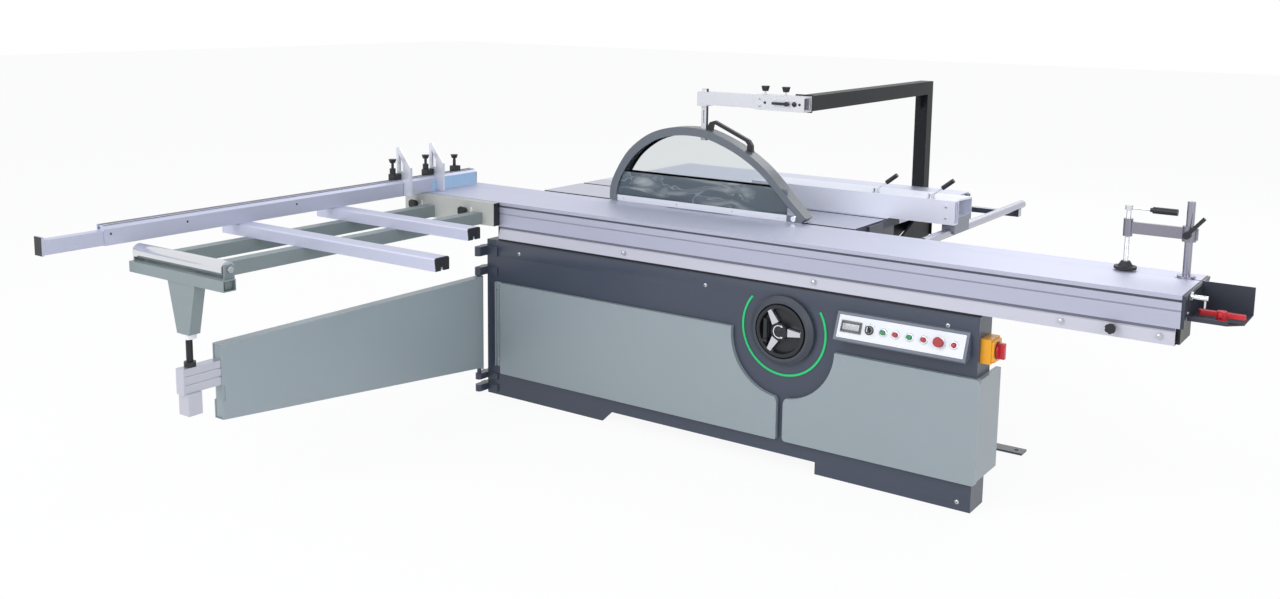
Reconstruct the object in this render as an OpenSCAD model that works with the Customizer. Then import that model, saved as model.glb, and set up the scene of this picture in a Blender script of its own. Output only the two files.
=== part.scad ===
// Sliding-table panel saw with swing-arm outrigger, rip fence, overhead guard and tilting saw unit.
// Millimetres. +X along the sliding table to the operator's end, +Y from the sliding table to the
// rip side, +Z up. Origin on the floor at the centre of the floor bolts; the blade runs in Y = 0.

/* [Overall] */
// Height of the table top above the floor
table_h = 860; // [700:1:1040]
// Length of the sliding carriage
slide_len = 3200; // [2600:10:3400]
// Width of the sliding carriage
slide_w = 360; // [300:1:420]
// Height of the sliding carriage profile
slide_h = 104; // [80:1:120]
// Length of the cabinet along the sliding table
cab_len = 2195; // [1900:5:2400]
// Depth of the front part of the cabinet, under the sliding table
cab_front_d = 120; // [90:1:150]
// Distance of the cabinet's back wall behind the blade plane
cab_back_y = 400; // [340:1:460]
// Thickness of the cabinet's sheet
cab_wall = 5; // [3:0.5:8]
// Height of the plinth under the front panels
plinth_h = 98; // [80:1:120]
// Height of the recess between the plinth's two feet
recess_h = 46; // [30:1:60]

/* [Tables] */
// Distance from the blade plane to the cast table's edge
table_gap = 10; // [6:1:16]
// Distance from the blade plane to the sliding carriage's edge
slide_gap = 14; // [12:1:20]
// Width of the cast main table
main_w = 420; // [360:5:460]
// Length of the cast and the rip-side tables
main_len = 1537; // [1400:1:1700]
// Depth of the cast table's rim
main_rim = 38; // [30:1:50]
// Width of the rip-side extension table
ext_w = 785; // [650:5:900]
// Radius of the round rip-fence rail
rail_r = 18; // [14:0.5:24]
// Distance of the rail's axis beyond the table end
rail_off = 235; // [200:1:260]

/* [Saw unit] */
// Diameter of the main saw blade
blade_d = 400; // [315:1:420]
// Thickness of the main saw blade's body
blade_t = 3; // [2.2:0.1:4]
// Cutting height of the main blade at rest
cut_h = 60; // [40:1:80]
// Diameter of the scoring blade
score_d = 120; // [100:1:150]
// Radius of the arbor shaft
arbor_r = 15; // [10:0.5:20]
// Radius of the two raising columns
column_r = 14; // [10:0.5:18]
// Radius of the tilt slot's centre line about the tilt axis
tilt_r = 240; // [200:1:280]
// Radial running clearance of shafts, pins and columns
run_c = 0.05; // [0.02:0.01:0.1]

/* [Guard] */
// Length of the overhead guard
guard_len = 947; // [760:1:1140]
// Height of the overhead guard
guard_h = 339; // [280:1:400]
// Half the thickness of the guard
guard_hw = 34; // [28:1:40]
// Outer width of the guard's square arm and post
post_w = 60; // [50:1:70]
// Height of the arm's underside above the table
arm_z = 436; // [420:1:560]

/* [Controls] */
// Radius of the handwheel
wheel_r = 98; // [80:1:105]
// Radius of the green trim arc
arc_r = 172; // [160:1:185]
// Length of the control console
con_len = 487; // [420:1:560]
// Height of the control console along its sloping face
con_h = 102; // [80:1:120]
// Backward tilt of the console's face in degrees
con_tilt = 22; // [10:1:30]
// Radius of a push button
button_r = 9; // [7:0.5:11]

/* [Outrigger] */
// Distance from the sliding table to the outer roller's axis
out_len = 1450; // [1300:1:1700]
// Radius of the outer roller
roller_r = 27; // [20:1:32]
// Length of the outer roller
roller_len = 489; // [400:1:520]
// Width of the aluminium support rails
rail_w = 66; // [50:1:80]
// Height of the aluminium support rails
rail_h = 46; // [35:1:60]

/* [Crosscut fence] */
// Height of the crosscut fence profile
fence_h = 72; // [55:1:90]
// Width of the crosscut fence profile
fence_w = 44; // [36:1:56]
// Length of the crosscut fence profile
fence_len = 1876; // [1600:1:2250]

/* [Rip fence] */
// Height of the rip fence
rip_h = 95; // [75:1:115]
// Width of the rip fence body
rip_w = 204; // [160:1:240]
// Distance of the rip fence's face from the blade plane
rip_y = 323; // [60:1:700]

/* [Swing arm] */
// Thickness of the swing arm's box
arm_t = 46; // [36:1:60]
// Height of the swing arm at its outer end
arm_h = 270; // [220:1:330]
// Height of the telescopic inner arm
inner_h = 88; // [70:1:110]

/* [Hold-down clamp] */
// Radius of the clamp's post
clamp_r = 12.5; // [9:0.5:16]
// Reach of the clamp's bar
clamp_reach = 189; // [140:1:240]

/* [Hidden] */
$fn = 64;
T = table_h;
cab_x1 = cab_len / 2;
cab_x0 = -cab_x1;
slide_x0 = cab_x0 - 378.5;
slide_x1 = slide_x0 + slide_len;
slide_y1 = -slide_gap;
slide_y0 = slide_y1 - slide_w;
slide_z0 = T - slide_h;
beam_x0 = slide_x0 + 470;
beam_h = 54;
beam_z0 = slide_z0 - 1 - beam_h;
beam_w = 168;
beam_cap_t = 12;
cab_y0 = slide_y0 + 23;
cab_ym = cab_y0 + cab_front_d;
cab_top = beam_z0 - 14;
rear_x0 = cab_x0 + 130;
rear_x1 = cab_x1 - 320;
rear_top = T - main_rim;
panel_t = 18;
panel_l_top = T - 354;
panel_r_top = T - 384;
wheel_x = cab_x0 + 1459;
wheel_z = T - 336;
main_x1 = cab_x0 + 1560;
main_x0 = main_x1 - main_len;
main_y1 = table_gap + main_w;
up_x1 = main_x1 - 10;
ext_y0 = main_y1;
ext_y1 = ext_y0 + ext_w;
blade_x = wheel_x - 568;
blade_r = blade_d / 2;
blade_z = T + cut_h - blade_r;
score_r = score_d / 2;
score_x = blade_x + blade_r + score_r + 30;
score_z = T + 2.5 - score_r;
rail_x = main_x1 + rail_off;
rail_z = T - 38;
rail_y0 = 110;
post_x = blade_x + 387;
post_y = ext_y1 + 2;
hood_x0 = blade_x - guard_len / 2 + 5;
hood_z0 = T + 4;
hanger_x = hood_x0 + 442;
out_x0 = slide_x0 - 54;
out_y0 = slide_y0 - 38;
box_len = 524;
roller_y = out_y0 + 38 - out_len;
roller_x0 = slide_x0 + 82;
fence_x1 = slide_x0 + fence_w;
fence_y1 = -54;
fence_y0 = fence_y1 - fence_len;
fence_z0 = T + 0.3;
pivot_x = fence_x1 - fence_w / 2;
pivot_y = out_y0 + 19;
pivot_r = 6;
ext_end = 216;
hinge_x = cab_x0 - 14;
hinge_y = cab_y0 - 42;
rod_y = roller_y - 13;
arm_top = T - 335;
inner_z1 = T - 390;
arm_out_y = rod_y + 108;
con_x0 = cab_x0 + 1681;
con_z0 = T - 322;
con_y0 = cab_y0 - 48;
face_z = [sin(con_tilt), cos(con_tilt)];
clamp_x = slide_x1 - 47;
clamp_y = slide_y1 - 86;
clamp_z = T + 125;

// ---- shared shapes ----
module box(x0, x1, y0, y1, z0, z1) {
  translate([x0, y0, z0]) cube([x1 - x0, y1 - y0, z1 - z0]);
}
module xprism(x0, x1) {
  translate([x0, 0, 0]) rotate([90, 0, 90]) linear_extrude(x1 - x0) children();
}
module yprism(y0, y1) {
  translate([0, y1, 0]) rotate([90, 0, 0]) linear_extrude(y1 - y0) children();
}
module xcyl(x0, x1, y, z, r) {
  translate([x0, y, z]) rotate([0, 90, 0]) cylinder(h = x1 - x0, r = r);
}
module ycyl(y0, y1, x, z, r) {
  translate([x, y0, z]) rotate([-90, 0, 0]) cylinder(h = y1 - y0, r = r);
}
module zcyl(z0, z1, x, y, r) {
  translate([x, y, z0]) cylinder(h = z1 - z0, r = r);
}
// Flat rectangle with round corners.
module rrect(x0, x1, y0, y1, r) {
  translate([x0 + r, y0]) square([x1 - x0 - 2 * r, y1 - y0]);
  translate([x0, y0 + r]) square([x1 - x0, y1 - y0 - 2 * r]);
  for (x = [x0 + r, x1 - r]) {
    for (y = [y0 + r, y1 - r]) {
      translate([x, y]) circle(r);
    }
  }
}
// Flat ring sector between two angles under 180 degrees apart.
module sector(r0, r1, a0, a1) {
  far = r1 * 2;
  am = (a0 + a1) / 2;
  intersection() {
    difference() {
      circle(r1);
      circle(r0);
    }
    polygon([[0, 0], [far * cos(a0), far * sin(a0)], [far * cos(am), far * sin(am)], [far * cos(a1), far * sin(a1)]]);
  }
}
// A turned knob on a short stem, pointing up from the origin.
module star_knob(r, h, stem_r, stem_h) {
  cylinder(h = stem_h, r = stem_r);
  translate([0, 0, stem_h - 0.5]) difference() {
    cylinder(h = h, r1 = r * 0.7, r2 = r);
    for (a = [0 : 60 : 300]) {
      rotate([0, 0, a]) translate([r * 1.12, 0, -1]) cylinder(h = h + 2, r = r * 0.26, $fn = 24);
    }
  }
}
// Frame of the console's sloping face: x along it, y up it, z out of it.
module on_face() {
  translate([con_x0, con_y0, con_z0]) rotate([90 - con_tilt, 0, 0]) children();
}

// ---- cabinet ----
module cab_plan(w) {
  translate([cab_x0 + w, cab_y0 + w]) square([cab_len - 2 * w, cab_front_d - 2 * w]);
  translate([rear_x0 + w, cab_y0 + w]) square([rear_x1 - rear_x0 - 2 * w, cab_back_y - cab_y0 - 2 * w]);
}
anchor_dx = 2060;
anchor_dy = 660;
anchor_r = 8;
foot_t = 8;
module shell_sheet() {
  color("#3e4452") difference() {
    union() {
      difference() {
        linear_extrude(cab_top) cab_plan(0);
        translate([0, 0, plinth_h]) linear_extrude(cab_top - plinth_h - cab_wall) cab_plan(cab_wall);
        translate([0, 0, -1]) linear_extrude(plinth_h - foot_t) cab_plan(cab_wall);
        // the tilting saw unit passes through the top between the two raised end walls
        box(rear_x0 + cab_wall, up_x1 - cab_wall, cab_ym, cab_back_y - cab_wall, cab_top - 2 * cab_wall, cab_top + 1);
      }
      // raised rear box that carries the cast table
      difference() {
        box(rear_x0, up_x1, table_gap + 2, cab_back_y, cab_top - cab_wall, rear_top);
        box(rear_x0 + cab_wall, up_x1 - cab_wall, table_gap, cab_back_y - cab_wall, cab_top - cab_wall - 1, T);
      }
      // floor ears at the four corners
      for (x = [-anchor_dx / 2, anchor_dx / 2]) {
        box(x - 30, x + 30, anchor_dy / 2 - 30, anchor_dy / 2 + 30, 0, foot_t);
      }
      box(-anchor_dx / 2 - 30, rear_x0 + 2, anchor_dy / 2 - 30, anchor_dy / 2 + 30, 0, foot_t);
      box(rear_x1 - 2, anchor_dx / 2 + 30, anchor_dy / 2 - 30, anchor_dy / 2 + 30, 0, foot_t);
      for (x = [-anchor_dx / 2, anchor_dx / 2]) {
        box(x - 32, x + 32, cab_y0 + 1, -anchor_dy / 2 + 60, 0, foot_t);
      }
    }
    // recess between the two feet
    yprism(cab_y0 - 1, cab_back_y + 1) polygon([
      [cab_x0 + 628, -1], [cab_x0 + 676, recess_h], [cab_x1 - 592, recess_h], [cab_x1 - 592, -1]
    ]);
    // opening in the floor for chips and air
    box(rear_x0 + 120, rear_x1 - 120, cab_y0 + 60, cab_back_y - 90, plinth_h - 2 * foot_t, plinth_h + 1);
    // bore for the handwheel shaft
    ycyl(cab_y0 - 1, cab_y0 + cab_wall + 1, wheel_x, wheel_z, 12 + run_c);
    // hole for the dust outlet
    ycyl(cab_back_y - cab_wall - 1, cab_back_y + 1, rear_x0 + 300, T - 480, 57);
    for (x = [-anchor_dx / 2, anchor_dx / 2]) {
      for (y = [-anchor_dy / 2, anchor_dy / 2]) {
        zcyl(-1, foot_t + 1, x, y, anchor_r);
      }
    }
  }
}
cut_r = 216;
cut_z = wheel_z - 42;
module panel_plan(x0, x1, ztop, r) {
  difference() {
    rrect(x0, x1, plinth_h + 6, ztop, r);
    translate([wheel_x, cut_z]) circle(cut_r);
    translate([wheel_x - 14, plinth_h]) square([28, cut_z - plinth_h]);
    translate([wheel_x - 14 - 40, cut_z - cut_r - 22]) difference() {
      square([108, 60]);
      translate([0, -2]) circle(40);
      translate([108, -2]) circle(40);
    }
  }
}
module panel_left() {
  color("#93a0a3") yprism(cab_y0 - panel_t, cab_y0) panel_plan(cab_x0 + 86, wheel_x - 14, panel_l_top, 6);
}
module panel_right() {
  end_d = cab_front_d + 66;
  color("#93a0a3") {
    yprism(cab_y0 - panel_t, cab_y0) panel_plan(wheel_x + 14, cab_x1 + panel_t, panel_r_top, 14);
    box(cab_x1, cab_x1 + panel_t, cab_y0 - 4, cab_y0 + end_d, plinth_h + 20, panel_r_top);
  }
}
module green_arc() {
  color("#57d79a") translate([0, cab_y0 - 0.3, 0]) rotate([90, 0, 0]) linear_extrude(3)
    translate([wheel_x, wheel_z]) union() {
      sector(arc_r - 4, arc_r + 4, 141, 265);
      sector(arc_r - 4, arc_r + 4, 264, 391);
    }
}
bezel_r = 130;
module wheel_bezel() {
  color("#33383f") difference() {
    union() {
      ycyl(cab_y0 - 16, cab_y0, wheel_x, wheel_z, bezel_r);
      translate([wheel_x, cab_y0 - 16, wheel_z]) rotate([90, 0, 0]) cylinder(h = 14, r1 = bezel_r, r2 = bezel_r - 16);
    }
    ycyl(cab_y0 - 40, cab_y0 - 4, wheel_x, wheel_z, wheel_r + 6);
    ycyl(cab_y0 - 40, cab_y0 + 1, wheel_x, wheel_z, 20);
  }
}
module console_bezel() {
  z1 = con_z0 + con_h * face_z[1];
  y1 = con_y0 + con_h * face_z[0];
  color("#454b56") difference() {
    xprism(con_x0, con_x0 + con_len) polygon([
      [cab_y0, con_z0 + 6], [con_y0 + 6, con_z0 - 6], [con_y0, con_z0], [y1, z1], [cab_y0, z1 + 4]
    ]);
    on_face() translate([9, 9, -3]) cube([con_len - 18, con_h - 18, 10]);
    on_face() translate([14, 14, -20]) cube([con_len - 28, con_h - 28, 20]);
  }
}
btn_f = [0.257, 0.37, 0.47, 0.58, 0.69, 0.807, 0.92];
plate_x = 10;
plate_l = con_len - 2 * plate_x;
plate_h = con_h - 20;
function btn_x(i) = plate_x + btn_f[i] * plate_l;
module plate_sheet() {
  color("#eceef2") on_face() difference() {
    translate([plate_x, 10, -3]) cube([plate_l, plate_h, 3]);
    for (i = [0 : 6]) {
      translate([btn_x(i), con_h / 2, -4]) cylinder(h = 5, r = 6 + run_c);
    }
  }
}
module display_unit() {
  color("#22262c") on_face() translate([plate_x + 12, con_h / 2 - 20, 0]) cube([78, 42, 4]);
}
module pilot_lamp() {
  color("#d63a45") on_face() translate([btn_x(6), con_h / 2, -10]) {
    cylinder(h = 13, r = 6);
    translate([0, 0, 10]) cylinder(h = 5, r = button_r + 1);
    translate([0, 0, 14.5]) cylinder(h = 5, r1 = button_r - 1, r2 = button_r - 4);
  }
}
// Push button number i: stem, collar gap and cap.
module push_button(i, cap_r, cap_h) {
  on_face() translate([btn_x(i), con_h / 2, -12]) {
    cylinder(h = 18.5, r = 6);
    translate([0, 0, 18]) cylinder(h = cap_h, r = cap_r);
  }
}
module button_1() {
  color("#28b46a") push_button(1, button_r, 6);
}
module button_2() {
  color("#d8323c") push_button(2, button_r, 6);
}
module button_3() {
  color("#28b46a") push_button(3, button_r, 6);
}
module button_4() {
  color("#d8323c") push_button(4, button_r, 6);
}
module estop_button() {
  color("#e02636") {
    push_button(5, 13, 3);
    on_face() translate([btn_x(5), con_h / 2, 8]) cylinder(h = 10, r = 17);
  }
}
module selector_knob() {
  color("#17191d") {
    push_button(0, 11, 6);
    on_face() translate([btn_x(0), con_h / 2, 11]) rotate([0, 0, 30]) translate([-4, -12, 0]) cube([8, 24, 9]);
  }
}
iso_y = cab_y0 + 62;
iso_z = T - 292;
iso_x = cab_x1 + 44;
module isolator_body() {
  color("#f0a722") difference() {
    union() {
      box(cab_x1, iso_x - 8, iso_y - 42, iso_y + 42, iso_z - 42, iso_z + 42);
      xprism(iso_x - 8.5, iso_x) rrect(iso_y - 38, iso_y + 38, iso_z - 38, iso_z + 38, 10);
    }
    xcyl(iso_x - 20, iso_x + 1, iso_y, iso_z, 7 + run_c);
  }
}
module isolator_knob() {
  color("#cf1f2b") {
    xcyl(iso_x - 18, iso_x + 8, iso_y, iso_z, 7);
    xcyl(iso_x + 1, iso_x + 8, iso_y, iso_z, 27);
    box(iso_x + 7, iso_x + 26, iso_y - 8, iso_y + 8, iso_z - 27, iso_z + 27);
  }
}
module dust_port() {
  color("#2f343c") difference() {
    union() {
      ycyl(cab_back_y, cab_back_y + 90, rear_x0 + 300, T - 480, 60);
      ycyl(cab_back_y, cab_back_y + 6, rear_x0 + 300, T - 480, 84);
    }
    ycyl(cab_back_y - 1, cab_back_y + 91, rear_x0 + 300, T - 480, 57);
  }
}

// ---- sliding table ----
edge_t = 6;
// Cross-section of the carriage: y from the front face, z down from the top.
module carriage_section() {
  difference() {
    translate([0, -slide_h]) square([slide_w, slide_h]);
    // hollow chambers
    translate([34, -slide_h + 34]) square([60, slide_h - 44]);
    translate([102, -slide_h + 34]) square([slide_w / 2 - 70, slide_h - 44]);
    translate([slide_w / 2 + 40, -52]) square([slide_w / 2 - 120, 42]);
    // T-slot and shallow grooves in the front face
    translate([-1, -22]) square([8, 8]);
    translate([5, -30]) square([12, 20]);
    translate([-1, -52]) square([4, 5]);
    // T-slot in the top
    translate([slide_w * 0.72 - 5, -7]) square([10, 8]);
    translate([slide_w * 0.72 - 11, -14]) square([22, 8]);
    // channels for the two guide rails, and relief under the blade side
    for (y = [24, 126]) {
      translate([y - run_c, -slide_h - 1]) square([20 + 2 * run_c, 26]);
    }
    translate([beam_w + 14, -slide_h - 1]) square([slide_w, 30]);
    // undercut that clears the tilted blade
    polygon([
      [slide_w + 1, -edge_t], [slide_w, -edge_t], [slide_w - 46, -36], [slide_w - 11 - slide_h, -slide_h - 1],
      [slide_w + 1, -slide_h - 1]
    ]);
  }
}
module carriage() {
  color("#c4c8d4") xprism(slide_x0, slide_x1) translate([slide_y0, T]) carriage_section();
}
module end_plan() {
  polygon([
    [2, -73], [2, -1.5], [slide_w - 2, -1.5], [slide_w - 2, -edge_t], [slide_w - 48, -36], [slide_w - 84, -73]
  ]);
}
module carriage_ends() {
  color("#1d2026") {
    xprism(slide_x1, slide_x1 + 10) translate([slide_y0, T]) end_plan();
    xprism(slide_x0 - 6, slide_x0) translate([slide_y0, T]) end_plan();
    box(slide_x1, slide_x1 + 10, slide_y0 + 2, slide_y0 + 22, slide_z0, T - 70);
  }
}
tray_x0 = slide_x1 + 10;
tray_x1 = slide_x1 + 164;
tray_z = T - 84;
tray_y0 = slide_y0 + 40;
tray_y1 = slide_y0 + 236;
module end_tray() {
  color("#1f2227") difference() {
    union() {
      xprism(tray_x0, tray_x1) polygon([
        [tray_y0, tray_z], [tray_y1, tray_z], [tray_y1, T + 6], [tray_y1 - 3, T + 6],
        [tray_y1 - 3, tray_z + 3], [tray_y0 + 3, tray_z + 3], [tray_y0 + 3, tray_z + 14], [tray_y0, tray_z + 14]
      ]);
      box(tray_x0, tray_x0 + 3, tray_y0, tray_y1, tray_z, T - 4);
    }
    // chamfered outer corner
    translate([tray_x1, tray_y0, tray_z - 1]) rotate([0, 0, 45]) cube([60, 60, 40], center = true);
    // bore for the wing handle's stem
    zcyl(tray_z - 1, tray_z + 4, tray_x0 + 88, tray_y0 + 52, 8 + run_c);
  }
}
module latch_pin() {
  color("#c9ccd4") {
    xcyl(tray_x0 + 3, tray_x0 + 10, tray_y0 + 26, T - 14, 16);
    xcyl(tray_x0 + 9, tray_x0 + 52, tray_y0 + 26, T - 14, 8);
    zcyl(T - 44, T - 6, tray_x0 + 42, tray_y0 + 26, 4);
  }
}
module wing_handle() {
  color("#d0242f") translate([tray_x0 + 88, tray_y0 + 52, tray_z]) {
    translate([0, 0, -8]) cylinder(h = 16, r = 8);
    translate([0, 0, 3.3]) cylinder(h = 30, r = 15);
    for (a = [0, 180]) {
      rotate([0, 0, a]) {
        translate([8, -9, 16]) cube([50, 18, 14]);
        translate([58, 0, 16]) cylinder(h = 14, r = 9);
      }
    }
    translate([-6, -24, 18]) cube([12, 48, 12]);
  }
}
module beam_profile() {
  beam_d = beam_w;
  color("#b9bdc9") {
    xprism(beam_x0, slide_x1 - beam_cap_t) translate([slide_y0 + 1, beam_z0]) difference() {
      union() {
        square([beam_d, beam_h]);
        for (y = [23, 125]) {
          translate([y, beam_h - 1]) square([20, 20]);
        }
      }
      translate([8, 8]) square([beam_d / 2 - 12, beam_h - 20]);
      translate([beam_d / 2 + 4, 8]) square([beam_d / 2 - 12, beam_h - 20]);
      translate([-1, beam_h - 12]) square([4, 4]);
    }
    for (x = [beam_x0 + 653, beam_x0 + 1495, beam_x0 + 2375, slide_x1 - 56]) {
      if (x < slide_x1 - 20) {
        ycyl(slide_y0 - 7, slide_y0 + 2, x, beam_z0 + 24, 8);
      }
    }
  }
}
module beam_caps() {
  color("#16181c") {
    box(beam_x0 - 8, beam_x0, slide_y0 + 1, slide_y0 + 1 + beam_w, beam_z0, beam_z0 + beam_h - 1);
    box(slide_x1 - beam_cap_t, slide_x1 - 2, slide_y0 + 25, slide_y0 + 1 + beam_w, beam_z0, beam_z0 + beam_h - 1);
  }
}
module beam_supports() {
  color("#16181c") {
    for (x = [beam_x0 + 90, -500, 60, 560, cab_x1 - 120]) {
      box(x, x + 90, slide_y0 + 30, slide_y0 + beam_w - 10, cab_top, beam_z0);
    }
    box(cab_x0 + 60, cab_x1 - 10, cab_y0 + 4, cab_y0 + 14, cab_top - 0, beam_z0);
  }
}
lock_x = slide_x1 - 196;
module table_lock() {
  color("#17191d") {
    ycyl(slide_y0 - 14, slide_y0 + 0.9, lock_x, beam_z0 + 30, 6);
    translate([lock_x, slide_y0 - 3, beam_z0 + 30]) rotate([90, 0, 0]) star_knob(17, 22, 9, 5);
  }
}
clamp_h = 248;
module clamp_post() {
  color("#cfd2d8") {
    zcyl(T, T + 8, clamp_x, clamp_y, 28);
    zcyl(T, T + clamp_h, clamp_x, clamp_y, clamp_r);
  }
}
module clamp_bar() {
  color("#aab0b6") difference() {
    union() {
      box(clamp_x - clamp_reach, clamp_x + 26, clamp_y - 7, clamp_y + 7, clamp_z, clamp_z + 38);
      zcyl(clamp_z - 6, clamp_z + 44, clamp_x, clamp_y, clamp_r + 9);
      zcyl(clamp_z - 10, clamp_z + 48, clamp_x - clamp_reach, clamp_y, 15);
    }
    zcyl(clamp_z - 11, clamp_z + 49, clamp_x, clamp_y, clamp_r + run_c);
    zcyl(clamp_z - 11, clamp_z + 49, clamp_x - clamp_reach, clamp_y, 8 + run_c);
    ycyl(clamp_y - 34, clamp_y - clamp_r, clamp_x, clamp_z + 19, 5 + run_c);
  }
}
module clamp_lever() {
  color("#17191d") {
    ycyl(clamp_y - 40, clamp_y - clamp_r - 1, clamp_x, clamp_z + 19, 5);
    ycyl(clamp_y - 46, clamp_y - 24, clamp_x, clamp_z + 19, 12);
    translate([clamp_x, clamp_y - 42, clamp_z + 19]) rotate([0, 40, 0]) translate([-6, -6, 0]) cube([12, 10, 78]);
  }
}
pad_r = 36;
module spindle_screw() {
  sx = clamp_x - clamp_reach;
  color("#c9ccd4") {
    zcyl(T + 26, T + 212, sx, clamp_y, 8);
    zcyl(T + 202, T + 216, sx, clamp_y, 13);
    xcyl(sx, sx + 74, clamp_y, T + 208, 4);
  }
}
module clamp_grip() {
  sx = clamp_x - clamp_reach;
  color("#17191d") difference() {
    union() {
      xcyl(sx + 74, sx + 150, clamp_y, T + 208, 11);
      xcyl(sx + 66, sx + 75, clamp_y, T + 208, 7);
    }
    xcyl(sx + 60, sx + 74.5, clamp_y, T + 208, 4);
  }
}
module clamp_pad() {
  color("#17191d") difference() {
    union() {
      zcyl(T + 6, T + 14, clamp_x - clamp_reach, clamp_y, pad_r);
      translate([clamp_x - clamp_reach, clamp_y, T + 13.5]) cylinder(h = 18, r1 = pad_r * 0.7, r2 = 14);
    }
    zcyl(T + 25.7, T + 40, clamp_x - clamp_reach, clamp_y, 8 + run_c);
  }
}

// ---- tables on the rip side ----
cast_t = 13;
module main_table() {
  color("#aeb3bb") difference() {
    box(main_x0, main_x1, table_gap, main_y1, T - main_rim, T);
    for (i = [0 : 3]) {
      cell = (main_len - 60) / 4;
      box(main_x0 + 24 + i * (cell + 4), main_x0 + 12 + (i + 1) * cell, table_gap + 14, main_y1 - 16, T - main_rim - 1, T - cast_t);
    }
    // chamfer along the slot edge of the rip side
    box(main_x0 - 1, main_x1 + 1, main_y1 - 150, main_y1 - 130, T - 8, T + 1);
  }
}
module ext_sheet() {
  color("#b9bdc6") {
    box(main_x0, main_x1, ext_y0, ext_y1, T - 6, T);
    for (y = [ext_y0, ext_y0 + ext_w / 2, ext_y1 - 4]) {
      box(main_x0, main_x1, y, y + 4, T - main_rim, T - 5);
    }
    for (x = [main_x0, main_x1 - 4]) {
      box(x, x + 4, ext_y0, ext_y1, T - main_rim, T - 5);
    }
  }
}
module table_braces() {
  color("#3e4452") for (x = [main_x0 + 220, main_x1 - 480]) {
    xprism(x, x + 40) difference() {
      polygon([
        [cab_back_y, T - 420], [cab_back_y, T - 340], [ext_y0 + ext_w / 2 - 20, T - main_rim],
        [ext_y0 + ext_w / 2 + 70, T - main_rim]
      ]);
    }
    box(x, x + 40, cab_back_y, cab_back_y + 12, T - 440, T - 320);
  }
}
module rail_bar() {
  color("#c3c6cf") ycyl(rail_y0, ext_y1 + 40, rail_x, rail_z, rail_r);
}
rail_br_y = [rail_y0 + 24, ext_y1 - 30];
module rail_brackets() {
  color("#2a2e35") difference() {
    for (y = rail_br_y) {
      box(main_x1, main_x1 + 12, y - 18, y + 90 * (y < ext_y0 ? 1 : 0) + 18, T - 84, T - main_rim + 32);
      box(main_x1 + 11, rail_x, y - 18, y + 18, T - 84, T - 62);
      box(rail_x - 16, rail_x + 16, y - 18, y + 18, T - 84, rail_z - rail_r * 0.7);
    }
    ycyl(0, ext_y1 + 100, rail_x, rail_z, rail_r);
  }
}
module post_tube() {
  color("#2f353c") difference() {
    union() {
      box(post_x, post_x + post_w, post_y, post_y + post_w, T - 230, T + arm_z + post_w);
      box(post_x, post_x + post_w, guard_hw + 6, post_y + 1, T + arm_z, T + arm_z + post_w);
      box(post_x - 5, post_x + post_w + 5, guard_hw, guard_hw + 12, T + arm_z - 5, T + arm_z + post_w + 5);
      xprism(post_x + post_w / 2 - 4, post_x + post_w / 2 + 4) polygon([
        [post_y + 1, T + arm_z - 70], [post_y + 1, T + arm_z + 1], [post_y - 70, T + arm_z + 1]
      ]);
    }
    box(post_x + 4, post_x + post_w - 4, guard_hw + 16, post_y - 4, T + arm_z + 4, T + arm_z + post_w - 4);
    box(post_x + 4, post_x + post_w - 4, post_y + 4, post_y + post_w - 4, T - 231, T + arm_z - 4);
  }
}
module post_bracket() {
  color("#2f353c") {
    box(post_x - 50, post_x + post_w + 50, ext_y1, ext_y1 + 2, T - 220, T - 10);
    for (x = [post_x - 12, post_x + post_w]) {
      box(x, x + 12, ext_y1, post_y + post_w * 0.8, T - 220, T - 60);
    }
    for (x = [post_x - 40, post_x + post_w + 28]) {
      xprism(x, x + 12) polygon([
        [cab_back_y, T - 470], [cab_back_y, T - 380], [ext_y1, T - 60], [ext_y1, T - 220]
      ]);
    }
    box(post_x - 50, post_x + post_w + 50, cab_back_y, cab_back_y + 2.5, T - 470, T - 380);
  }
}

// ---- overhead guard ----
hang_z = T + arm_z;
module sleeve_tube() {
  color("#cdd0d6") {
    box(post_x - 150, post_x + post_w + 6, guard_hw - 64, guard_hw, hang_z, hang_z + 4);
    box(post_x - 150, post_x + post_w + 6, guard_hw - 64, guard_hw, hang_z + post_w - 4, hang_z + post_w);
    box(post_x - 150, post_x + post_w + 6, guard_hw - 64, guard_hw - 60, hang_z, hang_z + post_w);
    box(post_x - 150, post_x + post_w + 6, guard_hw - 4, guard_hw, hang_z, hang_z + post_w);
  }
}
tube_y0 = guard_hw - 60 + run_c;
tube_y1 = guard_hw - 4 - run_c;
module hanger_tube() {
  color("#d9dbe0") difference() {
    union() {
      box(hanger_x + 32, post_x + post_w, tube_y0, tube_y1, hang_z + 4 + run_c, hang_z + post_w - 4 - run_c);
      box(hanger_x - 10, hanger_x + 33, tube_y0, tube_y1, hang_z - 2, hang_z + post_w - 4 - run_c);
    }
    box(hanger_x + 40, post_x + post_w + 1, tube_y0 + 4, tube_y1 - 4, hang_z + 8, hang_z + post_w - 8);
    box(hanger_x - run_c, hanger_x + 24 + run_c, -8 - run_c, 8 + run_c, hang_z - 3, hang_z + post_w);
  }
}
// The vertical bar that carries the hood and slides up and down in the hanger tube.
module hood_bar() {
  color("#e6e7ea") difference() {
    box(hanger_x, hanger_x + 24, -8, 8, hood_z0 + guard_h - 50, hang_z + post_w + 8);
    box(hanger_x + 9, hanger_x + 15, -9, 9, hood_z0 + guard_h + 20, hang_z - 20);
  }
}
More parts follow.
